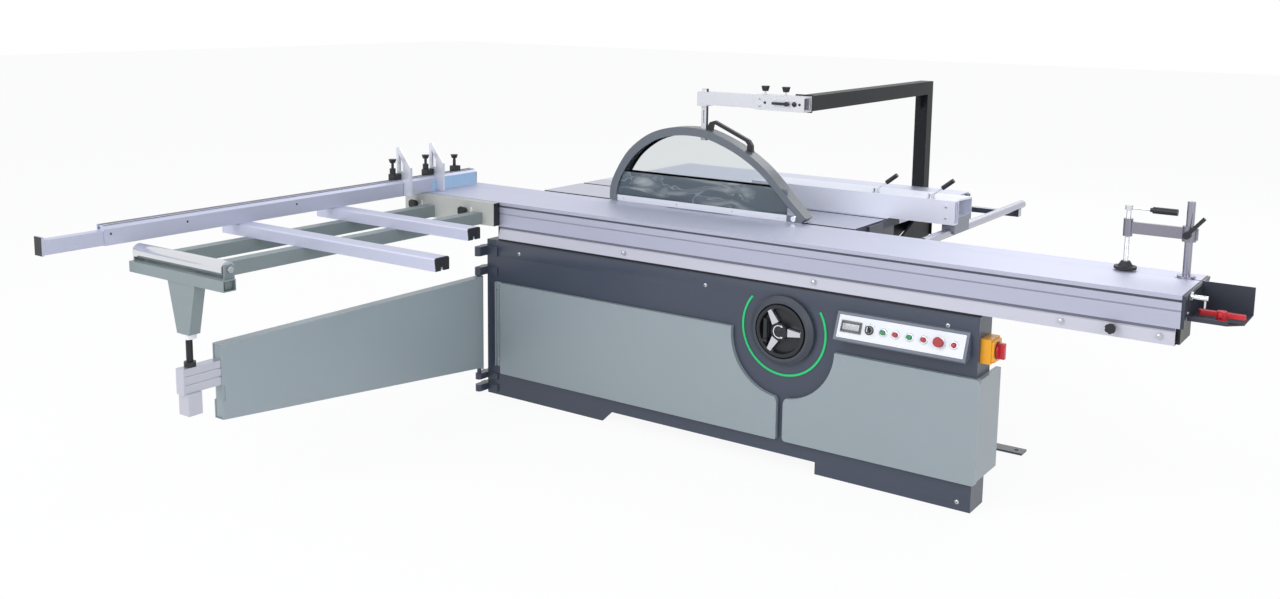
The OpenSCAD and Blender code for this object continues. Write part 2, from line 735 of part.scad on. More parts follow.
// Height of the gap under the hood's rip-side wall, which the tilted blade passes.
tilt_gap = 62;
hood_pts = [[0, 0], [0.004, 0.18], [0.038, 0.40], [0.104, 0.66], [0.2, 0.863], [0.294, 0.963], [0.39, 1.0],
  [0.495, 0.988], [0.596, 0.906], [0.695, 0.782], [0.792, 0.608], [0.864, 0.425], [0.935, 0.225], [1.0, 0.062], [0.978, 0]];
function cr(a, b, c, d, t) = 0.5 * (2 * b + (c - a) * t + (2 * a - 5 * b + 4 * c - d) * t * t + (3 * b - a - 3 * c + d) * t * t * t);
function hood_curve(n) = [for (i = [0 : len(hood_pts) - 3]) for (k = [0 : n - 1])
  cr(hood_pts[max(i - 1, 0)], hood_pts[i], hood_pts[i + 1], hood_pts[min(i + 2, len(hood_pts) - 2)], k / n)];
// Guard outline drawn in by w from the outside, cut off b above the bottom edge.
module hood_outline(w, b) {
  sx = (guard_len - 2 * w) / guard_len;
  sz = (guard_h - w) / guard_h;
  translate([hood_x0, hood_z0]) intersection() {
    translate([w, 0]) scale([sx, sz]) polygon([
      for (p = concat(hood_curve(4), [hood_pts[13], hood_pts[14]])) [p[0] * guard_len, p[1] * guard_h]
    ]);
    translate([-10, b]) square([guard_len + 20, guard_h + 20]);
  }
}
module hood_plate(w, b) {
  difference() {
    hood_outline(0, 0);
    hood_outline(w, b);
  }
}
module hood_shell() {
  color("#565c62") {
    yprism(-guard_hw + 3.5, guard_hw - 3.5) hood_plate(4, -1);
    yprism(-guard_hw, -guard_hw + 4) hood_plate(34, 26);
    yprism(guard_hw - 4, guard_hw) intersection() {
      hood_plate(34, 128);
      translate([hood_x0 - 10, hood_z0 + tilt_gap]) square([guard_len + 20, guard_h]);
    }
  }
}
module window_front() {
  color("#dfe5e8") yprism(-guard_hw + 4, -guard_hw + 7) hood_outline(24, 0);
}
module guard_window_back() {
  color("#dfe5e8") yprism(guard_hw - 7, guard_hw - 4) hood_outline(24, 110);
}
module guard_strip() {
  color("#f2f3f5") box(hood_x0 + 42, hood_x0 + guard_len - 84, -guard_hw + 1, -guard_hw + 4, hood_z0 - 1, hood_z0 + 26);
}
module guard_handle() {
  hx = hood_x0 + 500;
  color("#15171a") yprism(-8, 8) translate([hx, hood_z0]) polygon([
    [-34, guard_h - 1], [-16, guard_h + 26], [8, guard_h + 34], [170, guard_h - 34], [184, guard_h - 54], [186, guard_h - 84],
    [160, guard_h - 74], [162, guard_h - 52], [152, guard_h - 41], [6, guard_h + 20], [-2, guard_h + 14], [-6, guard_h - 8]
  ]);
}
module guard_roller() {
  color("#c9ccd2") {
    ycyl(-guard_hw - 5, -guard_hw + 4, hood_x0 + guard_len - 52, hood_z0 + 14, 6);
    ycyl(-guard_hw - 5, -guard_hw, hood_x0 + guard_len - 52, hood_z0 + 14, 11);
  }
}
knob_z = hang_z + post_w;
module hanger_knobs() {
  color("#17191d") for (x = [post_x - 122, post_x - 30]) {
    translate([x, guard_hw - 32, knob_z]) star_knob(17, 20, 4, 14);
  }
}
module hanger_lever() {
  color("#15171a") translate([post_x - 6, guard_hw - 64, hang_z + post_w / 2]) {
    rotate([90, 0, 0]) cylinder(h = 14, r = 9);
    translate([-62, -14, -5]) cube([62, 9, 10]);
  }
}

// ---- rip fence ----
rip_x0 = main_x1 - 640;
rip_x1 = rail_x + 38;
rip_z0 = T + 0.3;
lever_x = [rail_x - 305, rail_x - 68];
module rip_face() {
  color("#d3d6de") xprism(rip_x0, rip_x1) translate([rip_y, rip_z0]) difference() {
    square([42, rip_h]);
    translate([5, 5]) square([14, rip_h - 10]);
    translate([23, 5]) square([14, rip_h - 10]);
  }
}
module rip_body() {
  color("#dcdfe6") {
    xprism(rip_x0 + 20, rip_x1 - 6) translate([rip_y, rip_z0]) polygon([
      [42, rip_h - 18], [42, rip_h], [rip_w - 4, rip_h - 4], [rip_w, rip_h - 8], [rip_w, 20], [rip_w - 4, 20],
      [rip_w - 4, rip_h - 12], [60, rip_h - 6], [60, rip_h - 18]
    ]);
    box(rip_x0 + 60, rip_x1 - 6, rip_y + 42, rip_y + rip_w - 3, rip_z0, rip_z0 + 22);
  }
}
module rip_carriage() {
  color("#8f949c") difference() {
    union() {
      box(rail_x - 26, rail_x + 26, rip_y + 43, rip_y + rip_w - 5, rail_z - 6, rip_z0 + 21);
      box(rail_x - 34, rail_x - 26, rip_y + 60, rip_y + rip_w - 20, rail_z - 10, rip_z0 + 21);
    }
    ycyl(rip_y, rip_y + rip_w + 20, rail_x, rail_z, rail_r + run_c);
    box(rail_x - 10, rail_x + 10, rip_y, rip_y + rip_w + 20, rail_z - 40, rail_z);
  }
}
module rip_lever(i) {
  translate([lever_x[i], rip_y + 22, rip_z0 + rip_h]) {
    cylinder(h = 18, r = 13);
    translate([0, 0, 10]) rotate([0, 52, 0]) {
      cylinder(h = 64, r = 4);
      translate([0, 0, 56]) cylinder(h = 56, r = 9);
    }
  }
}
module rip_lever_1() {
  color("#c9ccd4") rip_lever(0);
}
module rip_lever_2() {
  color("#c9ccd4") rip_lever(1);
}

// ---- outrigger ----
box_z0 = T - 100;
module out_box() {
  color("#b4b6ab") difference() {
    box(out_x0, out_x0 + box_len - 10, out_y0, slide_y0 - 0.3, box_z0, T - 2);
    box(out_x0 + 5, out_x0 + box_len, out_y0 + 5, slide_y0 - 6, box_z0 + 5, T - 7);
    for (x = [out_x0 + 70, out_x0 + 364]) {
      ycyl(out_y0 - 1, out_y0 + 6, x, T - 46, 7 + run_c);
    }
  }
  color("#16181c") box(out_x0 + box_len - 10, out_x0 + box_len, out_y0, slide_y0 - 0.3, box_z0, T - 2);
  // pivot pin of the crosscut fence
  color("#c3c6cf") zcyl(T - 5, fence_z0 + 4, pivot_x, pivot_y, pivot_r);
}
module out_knob(i) {
  x = out_x0 + (i == 0 ? 70 : 364);
  ycyl(out_y0 - 10, out_y0 + 20, x, T - 46, 7);
  translate([x, out_y0 - 0.5, T - 46]) rotate([90, 0, 0]) star_knob(20, 24, 9, 8);
}
module out_knob_1() {
  color("#17191d") out_knob(0);
}
module out_knob_2() {
  color("#17191d") out_knob(1);
}
frame_z1 = T - rail_h;
frame_z0 = frame_z1 - 50;
frame_x = [out_x0 + 130, out_x0 + 410];
cross_y = [out_y0 - 340, out_y0 - 820];
roller_z = T - roller_r;
tube_w = 3;
module frame_tubes() {
  w = tube_w;
  bar_z1 = roller_z - roller_r - 4;
  bar_x1 = roller_x0 + roller_len + 24;
  color("#9fa8a6") difference() {
    union() {
      for (x = frame_x) {
        box(x, x + 50, roller_y + 32, out_y0, frame_z0, frame_z1);
        box(x, x + 50, roller_y + 11, roller_y + 33, frame_z0, bar_z1);
      }
      for (y = cross_y) {
        box(frame_x[0], frame_x[1] + 50, y, y + 40, frame_z0 + 6, frame_z1 - 2);
      }
      box(frame_x[0], bar_x1, roller_y - 38, roller_y + 12, frame_z0, bar_z1);
    }
    for (x = frame_x) {
      box(x + w, x + 50 - w, roller_y + 32 + w, out_y0 + 1, frame_z0 + w, frame_z1 - w);
    }
    for (y = cross_y) {
      box(frame_x[0] + 20, frame_x[1] + 30, y + w, y + 40 - w, frame_z0 + 6 + w, frame_z1 - 2 - w);
    }
    box(frame_x[0] + w, bar_x1 + 1, roller_y - 38 + w, roller_y + 12 - w, frame_z0 + w, bar_z1 - w);
  }
}
s_rail_y = [out_y0 - 500, out_y0 - 964];
s_rail_x1 = [out_x0 + 838, out_x0 + 1120];
module support_rail(i) {
  x0 = out_x0 - 6;
  difference() {
    xprism(x0, s_rail_x1[i]) translate([s_rail_y[i], T - rail_h]) difference() {
      union() {
        square([rail_w, rail_h - 8]);
        translate([8, 0]) square([rail_w - 16, rail_h]);
        for (y = [8, rail_w - 8]) {
          translate([y, rail_h - 8]) circle(8);
        }
      }
      translate([5, 12]) square([rail_w - 10, rail_h - 18]);
      translate([rail_w / 2 - 8, -1]) square([16, 20]);
    }
  }
}
module rail_profiles() {
  color("#c4c8d2") {
    support_rail(0);
    support_rail(1);
  }
}
module rail_caps() {
  color("#16181c") for (i = [0, 1]) {
    xprism(s_rail_x1[i], s_rail_x1[i] + 5) translate([s_rail_y[i], T - rail_h]) difference() {
      union() {
        square([rail_w, rail_h - 8]);
        translate([8, 0]) square([rail_w - 16, rail_h - 0.2]);
        for (y = [8, rail_w - 8]) {
          translate([y, rail_h - 8]) circle(7.8);
        }
      }
      translate([rail_w / 2 - 7, -1]) square([14, 14]);
    }
  }
}
module roller_brackets() {
  color("#9fa8a6") difference() {
    for (x = [roller_x0 - 8, roller_x0 + roller_len + 2]) {
      box(x, x + 6, roller_y - 20, roller_y + 20, frame_z0 + 4, roller_z + 14);
    }
    xcyl(roller_x0 - 20, roller_x0 + roller_len + 20, roller_y, roller_z, 8 + run_c);
  }
}
module roller() {
  color("#d6d8dd") {
    xcyl(roller_x0, roller_x0 + roller_len, roller_y, roller_z, roller_r);
    xcyl(roller_x0 - 12, roller_x0 + roller_len + 12, roller_y, roller_z, 8);
  }
}
leg_bot = T - 273;
module out_leg() {
  color("#9fa8a6") yprism(rod_y - 22, rod_y + 22) polygon([
    [hinge_x - 33, leg_bot], [hinge_x + 33, leg_bot], [hinge_x + 74, frame_z0], [hinge_x - 74, frame_z0]
  ]);
}
module leg_rod() {
  color("#d4d6da") zcyl(leg_bot - 18, leg_bot, hinge_x, rod_y, 26);
  color("#1b1d21") {
    zcyl(inner_z1 + 0.4, leg_bot - 17, hinge_x, rod_y, 11);
    zcyl(inner_z1 + 0.4, inner_z1 + 18, hinge_x, rod_y, 20);
  }
}

// ---- crosscut fence ----
fence_t = fence_z0 + fence_h;
module fence_section() {
  difference() {
    polygon([
      [0, 0], [fence_w, 0], [fence_w, fence_h - 14], [fence_w - 10, fence_h - 4], [26, fence_h], [0, fence_h]
    ]);
    translate([5, 5]) square([fence_w - 10, fence_h - 34]);
    translate([8, fence_h - 9]) square([10, 10]);
    translate([4, fence_h - 17]) square([18, 9]);
  }
}
module fence_profile() {
  color("#ccd0dc") difference() {
    yprism(fence_y0, fence_y1) translate([fence_x1 - fence_w, fence_z0]) fence_section();
    // bore for the pivot pin
    zcyl(fence_z0 - 1, fence_z0 + 6, pivot_x, pivot_y, pivot_r + run_c);
  }
}
module tail_profile() {
  color("#c1c5d1") {
    yprism(fence_y0 - ext_end, fence_y0 - 0.5) translate([fence_x1 - fence_w + 2, fence_z0 + 2]) square([fence_w - 5, fence_h - 22]);
    yprism(fence_y0 - 2, fence_y0 + 900) translate([fence_x1 - fence_w + 5.2, fence_z0 + 5.2]) square([fence_w - 10.4, fence_h - 34.4]);
  }
}
module fence_tail_cap() {
  color("#1a1c22") yprism(fence_y0 - ext_end - 8, fence_y0 - ext_end) translate([fence_x1 - fence_w, fence_z0]) square([fence_w, fence_h - 8]);
}
module fence_end() {
  color("#1a1c22") {
    yprism(fence_y1, fence_y1 + 4) translate([fence_x1 - fence_w, fence_z0]) square([fence_w, fence_h - 14]);
    ycyl(fence_y1 + 3, fence_y1 + 9, fence_x1 - fence_w / 2, fence_z0 + 28, 8);
  }
}
stop_y = [fence_y1 - 280, fence_y1 - 480];
stop_x = fence_x1 - fence_w + 13;
module stop_block(i) {
  y = stop_y[i];
  difference() {
    union() {
      box(stop_x - 13, stop_x + 20, y - 30, y + 14, fence_t + 0.2, fence_t + 26);
      box(stop_x - 8, stop_x + 8, y - 30, y + 14, fence_t - 16.8, fence_t - 9.2);
      box(stop_x - 4.8, stop_x + 4.8, y - 30, y + 14, fence_t - 10, fence_t + 1);
      ycyl(y + 14, y + 30, stop_x + 4, fence_t + 15, 6);
    }
    zcyl(fence_t + 6, fence_t + 30, stop_x - 1, y - 16, 4 + run_c);
  }
}
module clamped_stop_1() {
  color("#cfd3da") stop_block(0);
}
module clamped_stop_2() {
  color("#cfd3da") stop_block(1);
}
module stop_flag(i) {
  y = stop_y[i];
  translate([0, y + 27, 0]) rotate([90, 0, 0]) linear_extrude(12) difference() {
    translate([stop_x + 4, fence_t + 15]) polygon([
      [-10, -9], [10, -12], [fence_x1 - stop_x - 2, -30], [fence_x1 - stop_x - 2, -82],
      [fence_x1 - stop_x + 40, -82], [fence_x1 - stop_x + 40, 40], [4, 124], [-14, 124]
    ]);
    translate([stop_x + 4, fence_t + 15]) circle(6 + run_c);
    translate([stop_x + 4, fence_t + 15]) polygon([[2, 22], [28, 18], [28, 52], [2, 96]]);
  }
}
module stop_flag_1() {
  color("#e4e7ee") stop_flag(0);
}
module stop_flag_2() {
  color("#e4e7ee") stop_flag(1);
}
module stop_knob(i) {
  y = stop_y[i];
  zcyl(fence_t + 10, fence_t + 30, stop_x - 1, y - 16, 4);
  zcyl(fence_t + 26.4, fence_t + 50, stop_x - 1, y - 16, 13);
  translate([stop_x - 1, y - 16, fence_t + 49]) star_knob(17, 16, 6, 26);
}
module stop_knob_1() {
  color("#15171b") stop_knob(0);
}
module stop_knob_2() {
  color("#15171b") stop_knob(1);
}
lockk_y = fence_y1 - 112;
module fence_knob() {
  color("#15171b") {
    box(stop_x - 13, stop_x + 20, lockk_y - 18, lockk_y + 18, fence_t + 0.2, fence_t + 24);
    zcyl(fence_t + 22, fence_t + 50, stop_x - 1, lockk_y, 7);
    translate([stop_x - 1, lockk_y, fence_t + 49]) star_knob(17, 16, 6, 10);
  }
}

// ---- support swing arm ----
module lug_blocks() {
  color("#22262d") difference() {
    for (z = [[arm_top + 92, 40], [arm_top + 8, 34], [plinth_h - 30, 26], [14, 30]]) {
      box(hinge_x - 22, cab_x0 + 60, cab_y0 - 6, cab_y0 + 20, z[0], z[0] + z[1]);
      box(cab_x0 - 30, cab_x0, cab_y0 - 6, cab_y0 + 40, z[0], z[0] + z[1]);
      box(hinge_x - 16, hinge_x + 16, hinge_y, cab_y0, z[0], z[0] + z[1]);
      zcyl(z[0], z[0] + z[1], hinge_x, hinge_y, 16);
    }
    zcyl(plinth_h - 31, arm_top + 60, hinge_x, hinge_y, 9 + run_c);
    box(cab_x0, cab_x0 + 80, cab_y0, cab_y0 + 60, 0, T);
  }
}
hinge_bot = plinth_h + 6;
arm_bot_in = plinth_h + 26;
module arm_box() {
  color("#98a3a6") difference() {
    union() {
      yprism(arm_out_y, hinge_y) translate([hinge_x - arm_t / 2, 0]) square([arm_t, arm_top]);
      zcyl(hinge_bot, arm_top + 2, hinge_x, hinge_y, 20);
    }
    // sloping underside
    xprism(hinge_x - arm_t, hinge_x + arm_t) polygon([
      [arm_out_y - 1, -1], [hinge_y + 30, -1], [hinge_y + 30, arm_bot_in - 22], [hinge_y - 20, arm_bot_in], [arm_out_y - 1, arm_top - arm_h]
    ]);
    xprism(hinge_x - arm_t / 2 + 3, hinge_x + arm_t / 2 - 3) polygon([
      [arm_out_y - 1, arm_top - arm_h + 3], [hinge_y - 60, arm_bot_in + 8], [hinge_y - 60, arm_top - 3], [arm_out_y - 1, arm_top - 3]
    ]);
    box(hinge_x - arm_t, hinge_x + arm_t, arm_out_y - 1, arm_out_y + 12, inner_z1 - inner_h - 60, inner_z1 - inner_h - 6);
    zcyl(0, T, hinge_x, hinge_y, 9 + run_c);
  }
}
module hinge_pin() {
  color("#8d9299") zcyl(plinth_h - 24, arm_top + 30, hinge_x, hinge_y, 9);
}
in_w = arm_t - 6.4;
module arm_profile() {
  color("#c2c6d0") difference() {
    box(hinge_x - in_w / 2, hinge_x + in_w / 2, rod_y - 36, arm_out_y + 760, inner_z1 - inner_h, inner_z1);
    for (s = [-1, 1]) {
      for (z = [28, 58]) {
        translate([hinge_x + s * in_w / 2, 0, inner_z1 - z]) rotate([0, 45, 0]) translate([-2, rod_y - 40, -2]) cube([4, 1200, 4]);
      }
    }
    box(hinge_x - in_w / 2 + 4, hinge_x + in_w / 2 - 4, rod_y - 37, arm_out_y + 761, inner_z1 - inner_h + 4, inner_z1 - 4);
  }
}
module arm_slides() {
  color("#1a1c20") for (z = [[inner_z1 + 0.1, arm_top - 3.2], [arm_top - arm_h + 3.2, inner_z1 - inner_h - 0.1]]) {
    box(hinge_x - arm_t / 2 + 3.2, hinge_x + arm_t / 2 - 3.2, arm_out_y + 4, arm_out_y + 60, z[0], z[1]);
  }
}
module arm_cap() {
  color("#23262c") {
    box(hinge_x - in_w / 2 - 1, hinge_x + in_w / 2 + 1, rod_y - 42, rod_y - 36, inner_z1 - inner_h - 2, inner_z1);
  }
}
module arm_head() {
  color("#98a3a6") box(hinge_x - 27, hinge_x + 27, rod_y - 30, rod_y + 24, inner_z1 - inner_h - 78, inner_z1 - inner_h);
}

// ---- saw unit ----
sec_x = [blade_x - 350, score_x + score_r + 90];
pin_a = [-40, -66];
module trunnions() {
  color("#5b6068") for (x = sec_x) {
    xprism(x, x + 14) translate([0, T]) difference() {
      union() {
        sector(tilt_r - 36, tilt_r + 36, -120, -18);
        translate([table_gap + 16, -200]) square([tilt_r - 40, 200 - cast_t]);
      }
      sector(tilt_r - 10 - run_c, tilt_r + 10 + run_c, -115, -34);
      circle(90);
    }
  }
}
frame_y = 150;
sf_x0 = sec_x[0] + 18;
sf_x1 = sec_x[1] - 4;
col_x = [blade_x - 110, blade_x + 110];
col_y = 100;
module frame_plate() {
  color("#474c55") difference() {
    union() {
      box(sf_x0, sf_x1, col_y + 44, col_y + 56, T - 350, T - 60);
      for (x = [sf_x0, sf_x1 - 12]) {
        xprism(x, x + 12) polygon([
          [40, T - 290], [col_y + 56, T - 290], [tilt_r - 20, T - 200], [tilt_r - 20, T - 130], [col_y + 44, T - 60], [60, T - 150]
        ]);
      }
      for (z = [[T - 350, 20], [T - 62, 12]]) {
        box(col_x[0] - 26, col_x[1] + 26, col_y - 20, col_y + 46, z[0], z[0] + z[1]);
      }
      // studs that run in the tilt slots
      for (a = pin_a) {
        xcyl(sec_x[0] - 4, sf_x0 + 1, tilt_r * cos(a), T + tilt_r * sin(a), 10);
        xcyl(sf_x1 - 1, sec_x[1] + 18, tilt_r * cos(a), T + tilt_r * sin(a), 10);
      }
    }
    // pulley and belt window
    box(blade_x - 86, blade_x + 60, col_y + 40, col_y + 60, T - 290, T - 70);
  }
}
module raise_columns() {
  color("#c3c6cc") for (x = col_x) {
    zcyl(T - 330, T - 62, x, col_y, column_r);
  }
}
arb_hh = 26;
motor_dz = 216;
pulley_r = 38;
motor_y0 = 204;
module arbor_casting() {
  color("#666b73") difference() {
    union() {
      box(col_x[0] - 24, col_x[1] + 24, col_y - 34, col_y + 34, blade_z - arb_hh, blade_z + arb_hh);
      ycyl(20, col_y + 38, blade_x, blade_z, arb_hh + 1);
    }
    for (x = col_x) {
      zcyl(0, T, x, col_y, column_r + run_c);
    }
    ycyl(10, col_y + 50, blade_x, blade_z, arbor_r + run_c);
    ycyl(10, 30, blade_x, blade_z, arb_hh - 3);
  }
}
module main_arbor() {
  color("#a9adb5") {
    ycyl(-10, motor_y0 - 10, blade_x, blade_z, arbor_r);
    ycyl(blade_t / 2, 18, blade_x, blade_z, 44);
    ycyl(-11, -blade_t / 2, blade_x, blade_z, 44);
    ycyl(motor_y0 - 42, motor_y0 - 10, blade_x, blade_z, pulley_r);
  }
}
teeth = 60;
module saw_disc(x, z, r, t, n, bore) {
  translate([x, t / 2, z]) rotate([90, 0, 0]) linear_extrude(t) difference() {
    polygon([for (i = [0 : 2 * n - 1]) let(a = i * 180 / n, q = (i % 2 == 0) ? r : r - 7) [q * cos(a + (i % 2) * 2), q * sin(a + (i % 2) * 2)]]);
    circle(bore);
  }
}
module blade_disc() {
  color("#b8bcc4") saw_disc(blade_x, blade_z, blade_r, blade_t, teeth, arbor_r);
}
module riving_knife() {
  color("#8d929a") yprism(-1.2, 1.2) translate([blade_x, blade_z]) difference() {
    union() {
      intersection() {
        circle(blade_r + 44);
        polygon([[-40, -60], [-300, -60], [-300, 170], [-100, 190]]);
      }
      translate([-blade_r - 44, -90]) square([60, 60]);
    }
    circle(blade_r + 6);
  }
}
module knife_bracket() {
  kx = blade_x - blade_r;
  color("#5b6068") {
    box(kx - 40, kx - 10, 1.2, 14, blade_z - 90, blade_z - 34);
    box(kx - 40, kx - 10, 13, col_y - 10, blade_z - 84, blade_z - 60);
    box(kx - 40, col_x[0] - 23, col_y - 30, col_y - 10, blade_z - 84, blade_z + 10);
  }
}
module loop(r) {
  circle(r);
  translate([0, motor_dz]) circle(r);
  translate([-r, 0]) square([2 * r, motor_dz]);
}
module saw_motor() {
  mz = blade_z - motor_dz;
  color("#4e5560") {
    ycyl(motor_y0, motor_y0 + 176, blade_x, mz, 88);
    ycyl(motor_y0 + 175, motor_y0 + 182, blade_x, mz, 70);
    ycyl(motor_y0 - 42, motor_y0 + 1, blade_x, mz, 14);
    ycyl(motor_y0 - 42, motor_y0 - 10, blade_x, mz, pulley_r);
  }
  color("#17191d") yprism(motor_y0 - 36, motor_y0 - 16) translate([blade_x, mz]) difference() {
    loop(pulley_r + 4);
    loop(pulley_r + run_c);
  }
}
module motor_mount() {
  mz = blade_z - motor_dz;
  color("#666b73") {
    box(blade_x - 80, blade_x + 54, col_y - 34, col_y - 22, mz - 112, blade_z - arb_hh);
    box(blade_x - 80, blade_x + 54, col_y - 23, motor_y0 + 120, mz - 112, mz - 88.2);
  }
}
module score_unit() {
  color("#666b73") difference() {
    union() {
      box(score_x - 50, score_x + 50, col_y - 66, col_y + 45, score_z - 34, score_z + 14);
      ycyl(14, col_y - 65, score_x, score_z, 17);
    }
    ycyl(10, col_y + 20, score_x, score_z, 10 + run_c);
  }
}
module score_blade() {
  color("#b8bcc4") {
    saw_disc(score_x, score_z, score_r, 3.2, 24, 9);
    ycyl(-10, col_y - 10, score_x, score_z, 10);
    ycyl(1.6, 8, score_x, score_z, 24);
    ycyl(-8, -1.6, score_x, score_z, 24);
  }
}

// ---- handwheel ----
whub_y = cab_y0 - 34;
grip_x = wheel_x - 58;
grip_z = wheel_z - 42;
module wheel_rim() {
  color("#1b1d22") {
    difference() {
      translate([wheel_x, cab_y0 - 6, wheel_z]) rotate([90, 0, 0]) cylinder(h = 26, r1 = wheel_r - 4, r2 = wheel_r);
      translate([wheel_x, cab_y0 - 14, wheel_z]) rotate([90, 0, 0]) cylinder(h = 40, r1 = wheel_r - 18, r2 = wheel_r - 6);
    }
    ycyl(whub_y - 4, cab_y0 - 10, wheel_x, wheel_z, 33);
    ycyl(cab_y0 - 8, cab_y0 + 40, wheel_x, wheel_z, 12);
    // ears and pin of the folding crank grip
    for (x = [-9, 5]) {
      box(grip_x + x, grip_x + x + 4, whub_y - 8, cab_y0 - 13, grip_z - 8, grip_z + 8);
    }
    xcyl(grip_x - 8, grip_x + 8, whub_y, grip_z, 2.5);
  }
}
module wheel_spokes() {
  color("#d5d7dc") translate([wheel_x, whub_y, wheel_z]) rotate([90, 0, 0]) for (a = [0, 120, 240]) {
    rotate([0, 0, a]) translate([0, 0, -14]) linear_extrude(16) polygon([[33.5, -15], [86, -8], [86, 8], [33.5, 15]]);
  }
}
module wheel_grip() {
  color("#131518") difference() {
    union() {
      xcyl(grip_x - 4.8, grip_x + 4.8, whub_y, grip_z, 7);
      zcyl(grip_z, grip_z + 16, grip_x, whub_y, 4.5);
      zcyl(grip_z + 12, grip_z + 84, grip_x, whub_y, 9);
    }
    xcyl(grip_x - 6, grip_x + 6, whub_y, grip_z, 2.5 + run_c);
  }
}

// ---- nodes made of several pieces ----
module cabinet_shell() {
  shell_sheet();
  dust_port();
}
module front_panels() {
  panel_left();
  panel_right();
}
module control_plate() {
  plate_sheet();
  display_unit();
  pilot_lamp();
}
module sliding_table() {
  carriage();
  carriage_ends();
  end_tray();
  latch_pin();
}
module slide_beam() {
  beam_profile();
  beam_caps();
}
module clamp_spindle() {
  spindle_screw();
  clamp_grip();
}
module extension_table() {
  ext_sheet();
  table_braces();
}
module rip_rail() {
  rail_bar();
  rail_brackets();
}
module guard_post() {
  post_tube();
  post_bracket();
}
module hanger_sleeve() {
  sleeve_tube();
  hanger_knobs();
}
module guard_hood() {
  hood_shell();
  hood_bar();
  guard_strip();
  guard_handle();
  guard_roller();
}
module guard_window() {
  window_front();
  guard_window_back();
}
module rip_fence() {
  rip_face();
  rip_body();
  rip_carriage();
}
module out_frame() {
  frame_tubes();
  roller_brackets();
  out_leg();
  leg_rod();
}
module support_rails() {
  rail_profiles();
  rail_caps();
}
module crosscut_fence() {
  fence_profile();
  fence_end();
  fence_knob();
}
module fence_tail() {
  tail_profile();
  fence_tail_cap();
}
module stop_block_1() {
  clamped_stop_1();
  stop_knob_1();
}
module stop_block_2() {
  clamped_stop_2();
  stop_knob_2();
}
module hinge_lugs() {
  lug_blocks();
  hinge_pin();
}
module arm_outer() {
  arm_box();
  arm_slides();
}
module arm_inner() {
  arm_profile();
  arm_cap();
  arm_head();
}
module saw_frame() {
  frame_plate();
  raise_columns();
  score_unit();
}
module arbor_block() {
  arbor_casting();
  motor_mount();
  knife_bracket();
  riving_knife();
}
module main_blade() {
  blade_disc();
  main_arbor();
}
module handwheel() {
  wheel_rim();
  wheel_spokes();
}

// Which node to build

cabinet_shell();
front_panels();
green_arc();
wheel_bezel();
console_bezel();
control_plate();
button_1();
button_2();
button_3();
button_4();
estop_button();
selector_knob();
isolator_body();
isolator_knob();
sliding_table();
wing_handle();
slide_beam();
beam_supports();
table_lock();
clamp_post();
clamp_bar();
clamp_lever();
clamp_spindle();
clamp_pad();
main_table();
extension_table();
rip_rail();
guard_post();
hanger_sleeve();
hanger_tube();
hanger_lever();
guard_hood();
guard_window();
rip_fence();
rip_lever_1();
rip_lever_2();
out_box();
out_knob_1();
out_knob_2();
out_frame();
support_rails();
roller();
crosscut_fence();
fence_tail();
stop_block_1();
stop_block_2();
stop_flag_1();
stop_flag_2();
hinge_lugs();
arm_outer();
arm_inner();
trunnions();
saw_frame();
arbor_block();
main_blade();
saw_motor();
score_blade();
handwheel();
wheel_grip();
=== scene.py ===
import math
import bmesh
import bpy
from mathutils import Matrix, Vector


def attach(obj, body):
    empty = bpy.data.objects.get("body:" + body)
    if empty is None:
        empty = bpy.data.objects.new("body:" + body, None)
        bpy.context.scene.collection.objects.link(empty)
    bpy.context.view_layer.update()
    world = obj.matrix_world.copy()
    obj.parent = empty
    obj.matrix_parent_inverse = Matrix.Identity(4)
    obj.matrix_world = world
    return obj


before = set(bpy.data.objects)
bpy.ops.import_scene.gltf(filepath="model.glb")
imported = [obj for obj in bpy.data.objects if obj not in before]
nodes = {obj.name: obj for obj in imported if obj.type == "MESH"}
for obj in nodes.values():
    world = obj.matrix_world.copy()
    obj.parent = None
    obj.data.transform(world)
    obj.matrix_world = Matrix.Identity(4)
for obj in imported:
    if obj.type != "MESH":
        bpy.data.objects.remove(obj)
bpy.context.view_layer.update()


# ---- Camera, floor and light -------------------------
# The camera stands at a person's height off the operator's corner of the machine.
# The floor and the surround are plain and white, with broad soft lamps overhead.
LENS_MM = 35.24625
SHIFT_UP = -0.091015625
CAMERA_AT = (2.498, -4.338, 1.734)
cam_data = bpy.data.cameras.new("camera")
cam_data.sensor_width = 36.0
cam_data.lens = LENS_MM
cam_data.shift_y = SHIFT_UP
camera = bpy.data.objects.new("camera", cam_data)
bpy.context.scene.collection.objects.link(camera)
yaw, pitch, roll = (math.radians(a) for a in (35.007, 8.485, 0.716))
ahead = Vector((-math.sin(yaw) * math.cos(pitch), math.cos(yaw) * math.cos(pitch), -math.sin(pitch)))
right = ahead.cross(Vector((0, 0, 1))).normalized()
up = right.cross(ahead)
right, up = right * math.cos(roll) + up * math.sin(roll), up * math.cos(roll) - right * math.sin(roll)
camera.matrix_world = Matrix.Translation(CAMERA_AT) @ Matrix((right, up, -ahead)).transposed().to_4x4()
bpy.context.scene.camera = camera
bpy.context.scene.view_settings.view_transform = "Standard"


def add(tree, kind, **values):
    """A shader node with its sockets and settings."""
    node = tree.nodes.new(kind)
    for key, value in values.items():
        if key in node.inputs:
            node.inputs[key].default_value = value
        else:
            setattr(node, key, value)
    return node


def calc(tree, kind, *values):
    """One maths step on numbers and sockets."""
    node = add(tree, "ShaderNodeMath", operation=kind)
    for socket, value in zip(node.inputs, values):
        if isinstance(value, (int, float)):
            socket.default_value = value
        else:
            tree.links.new(value, socket)
    return node.outputs[0]


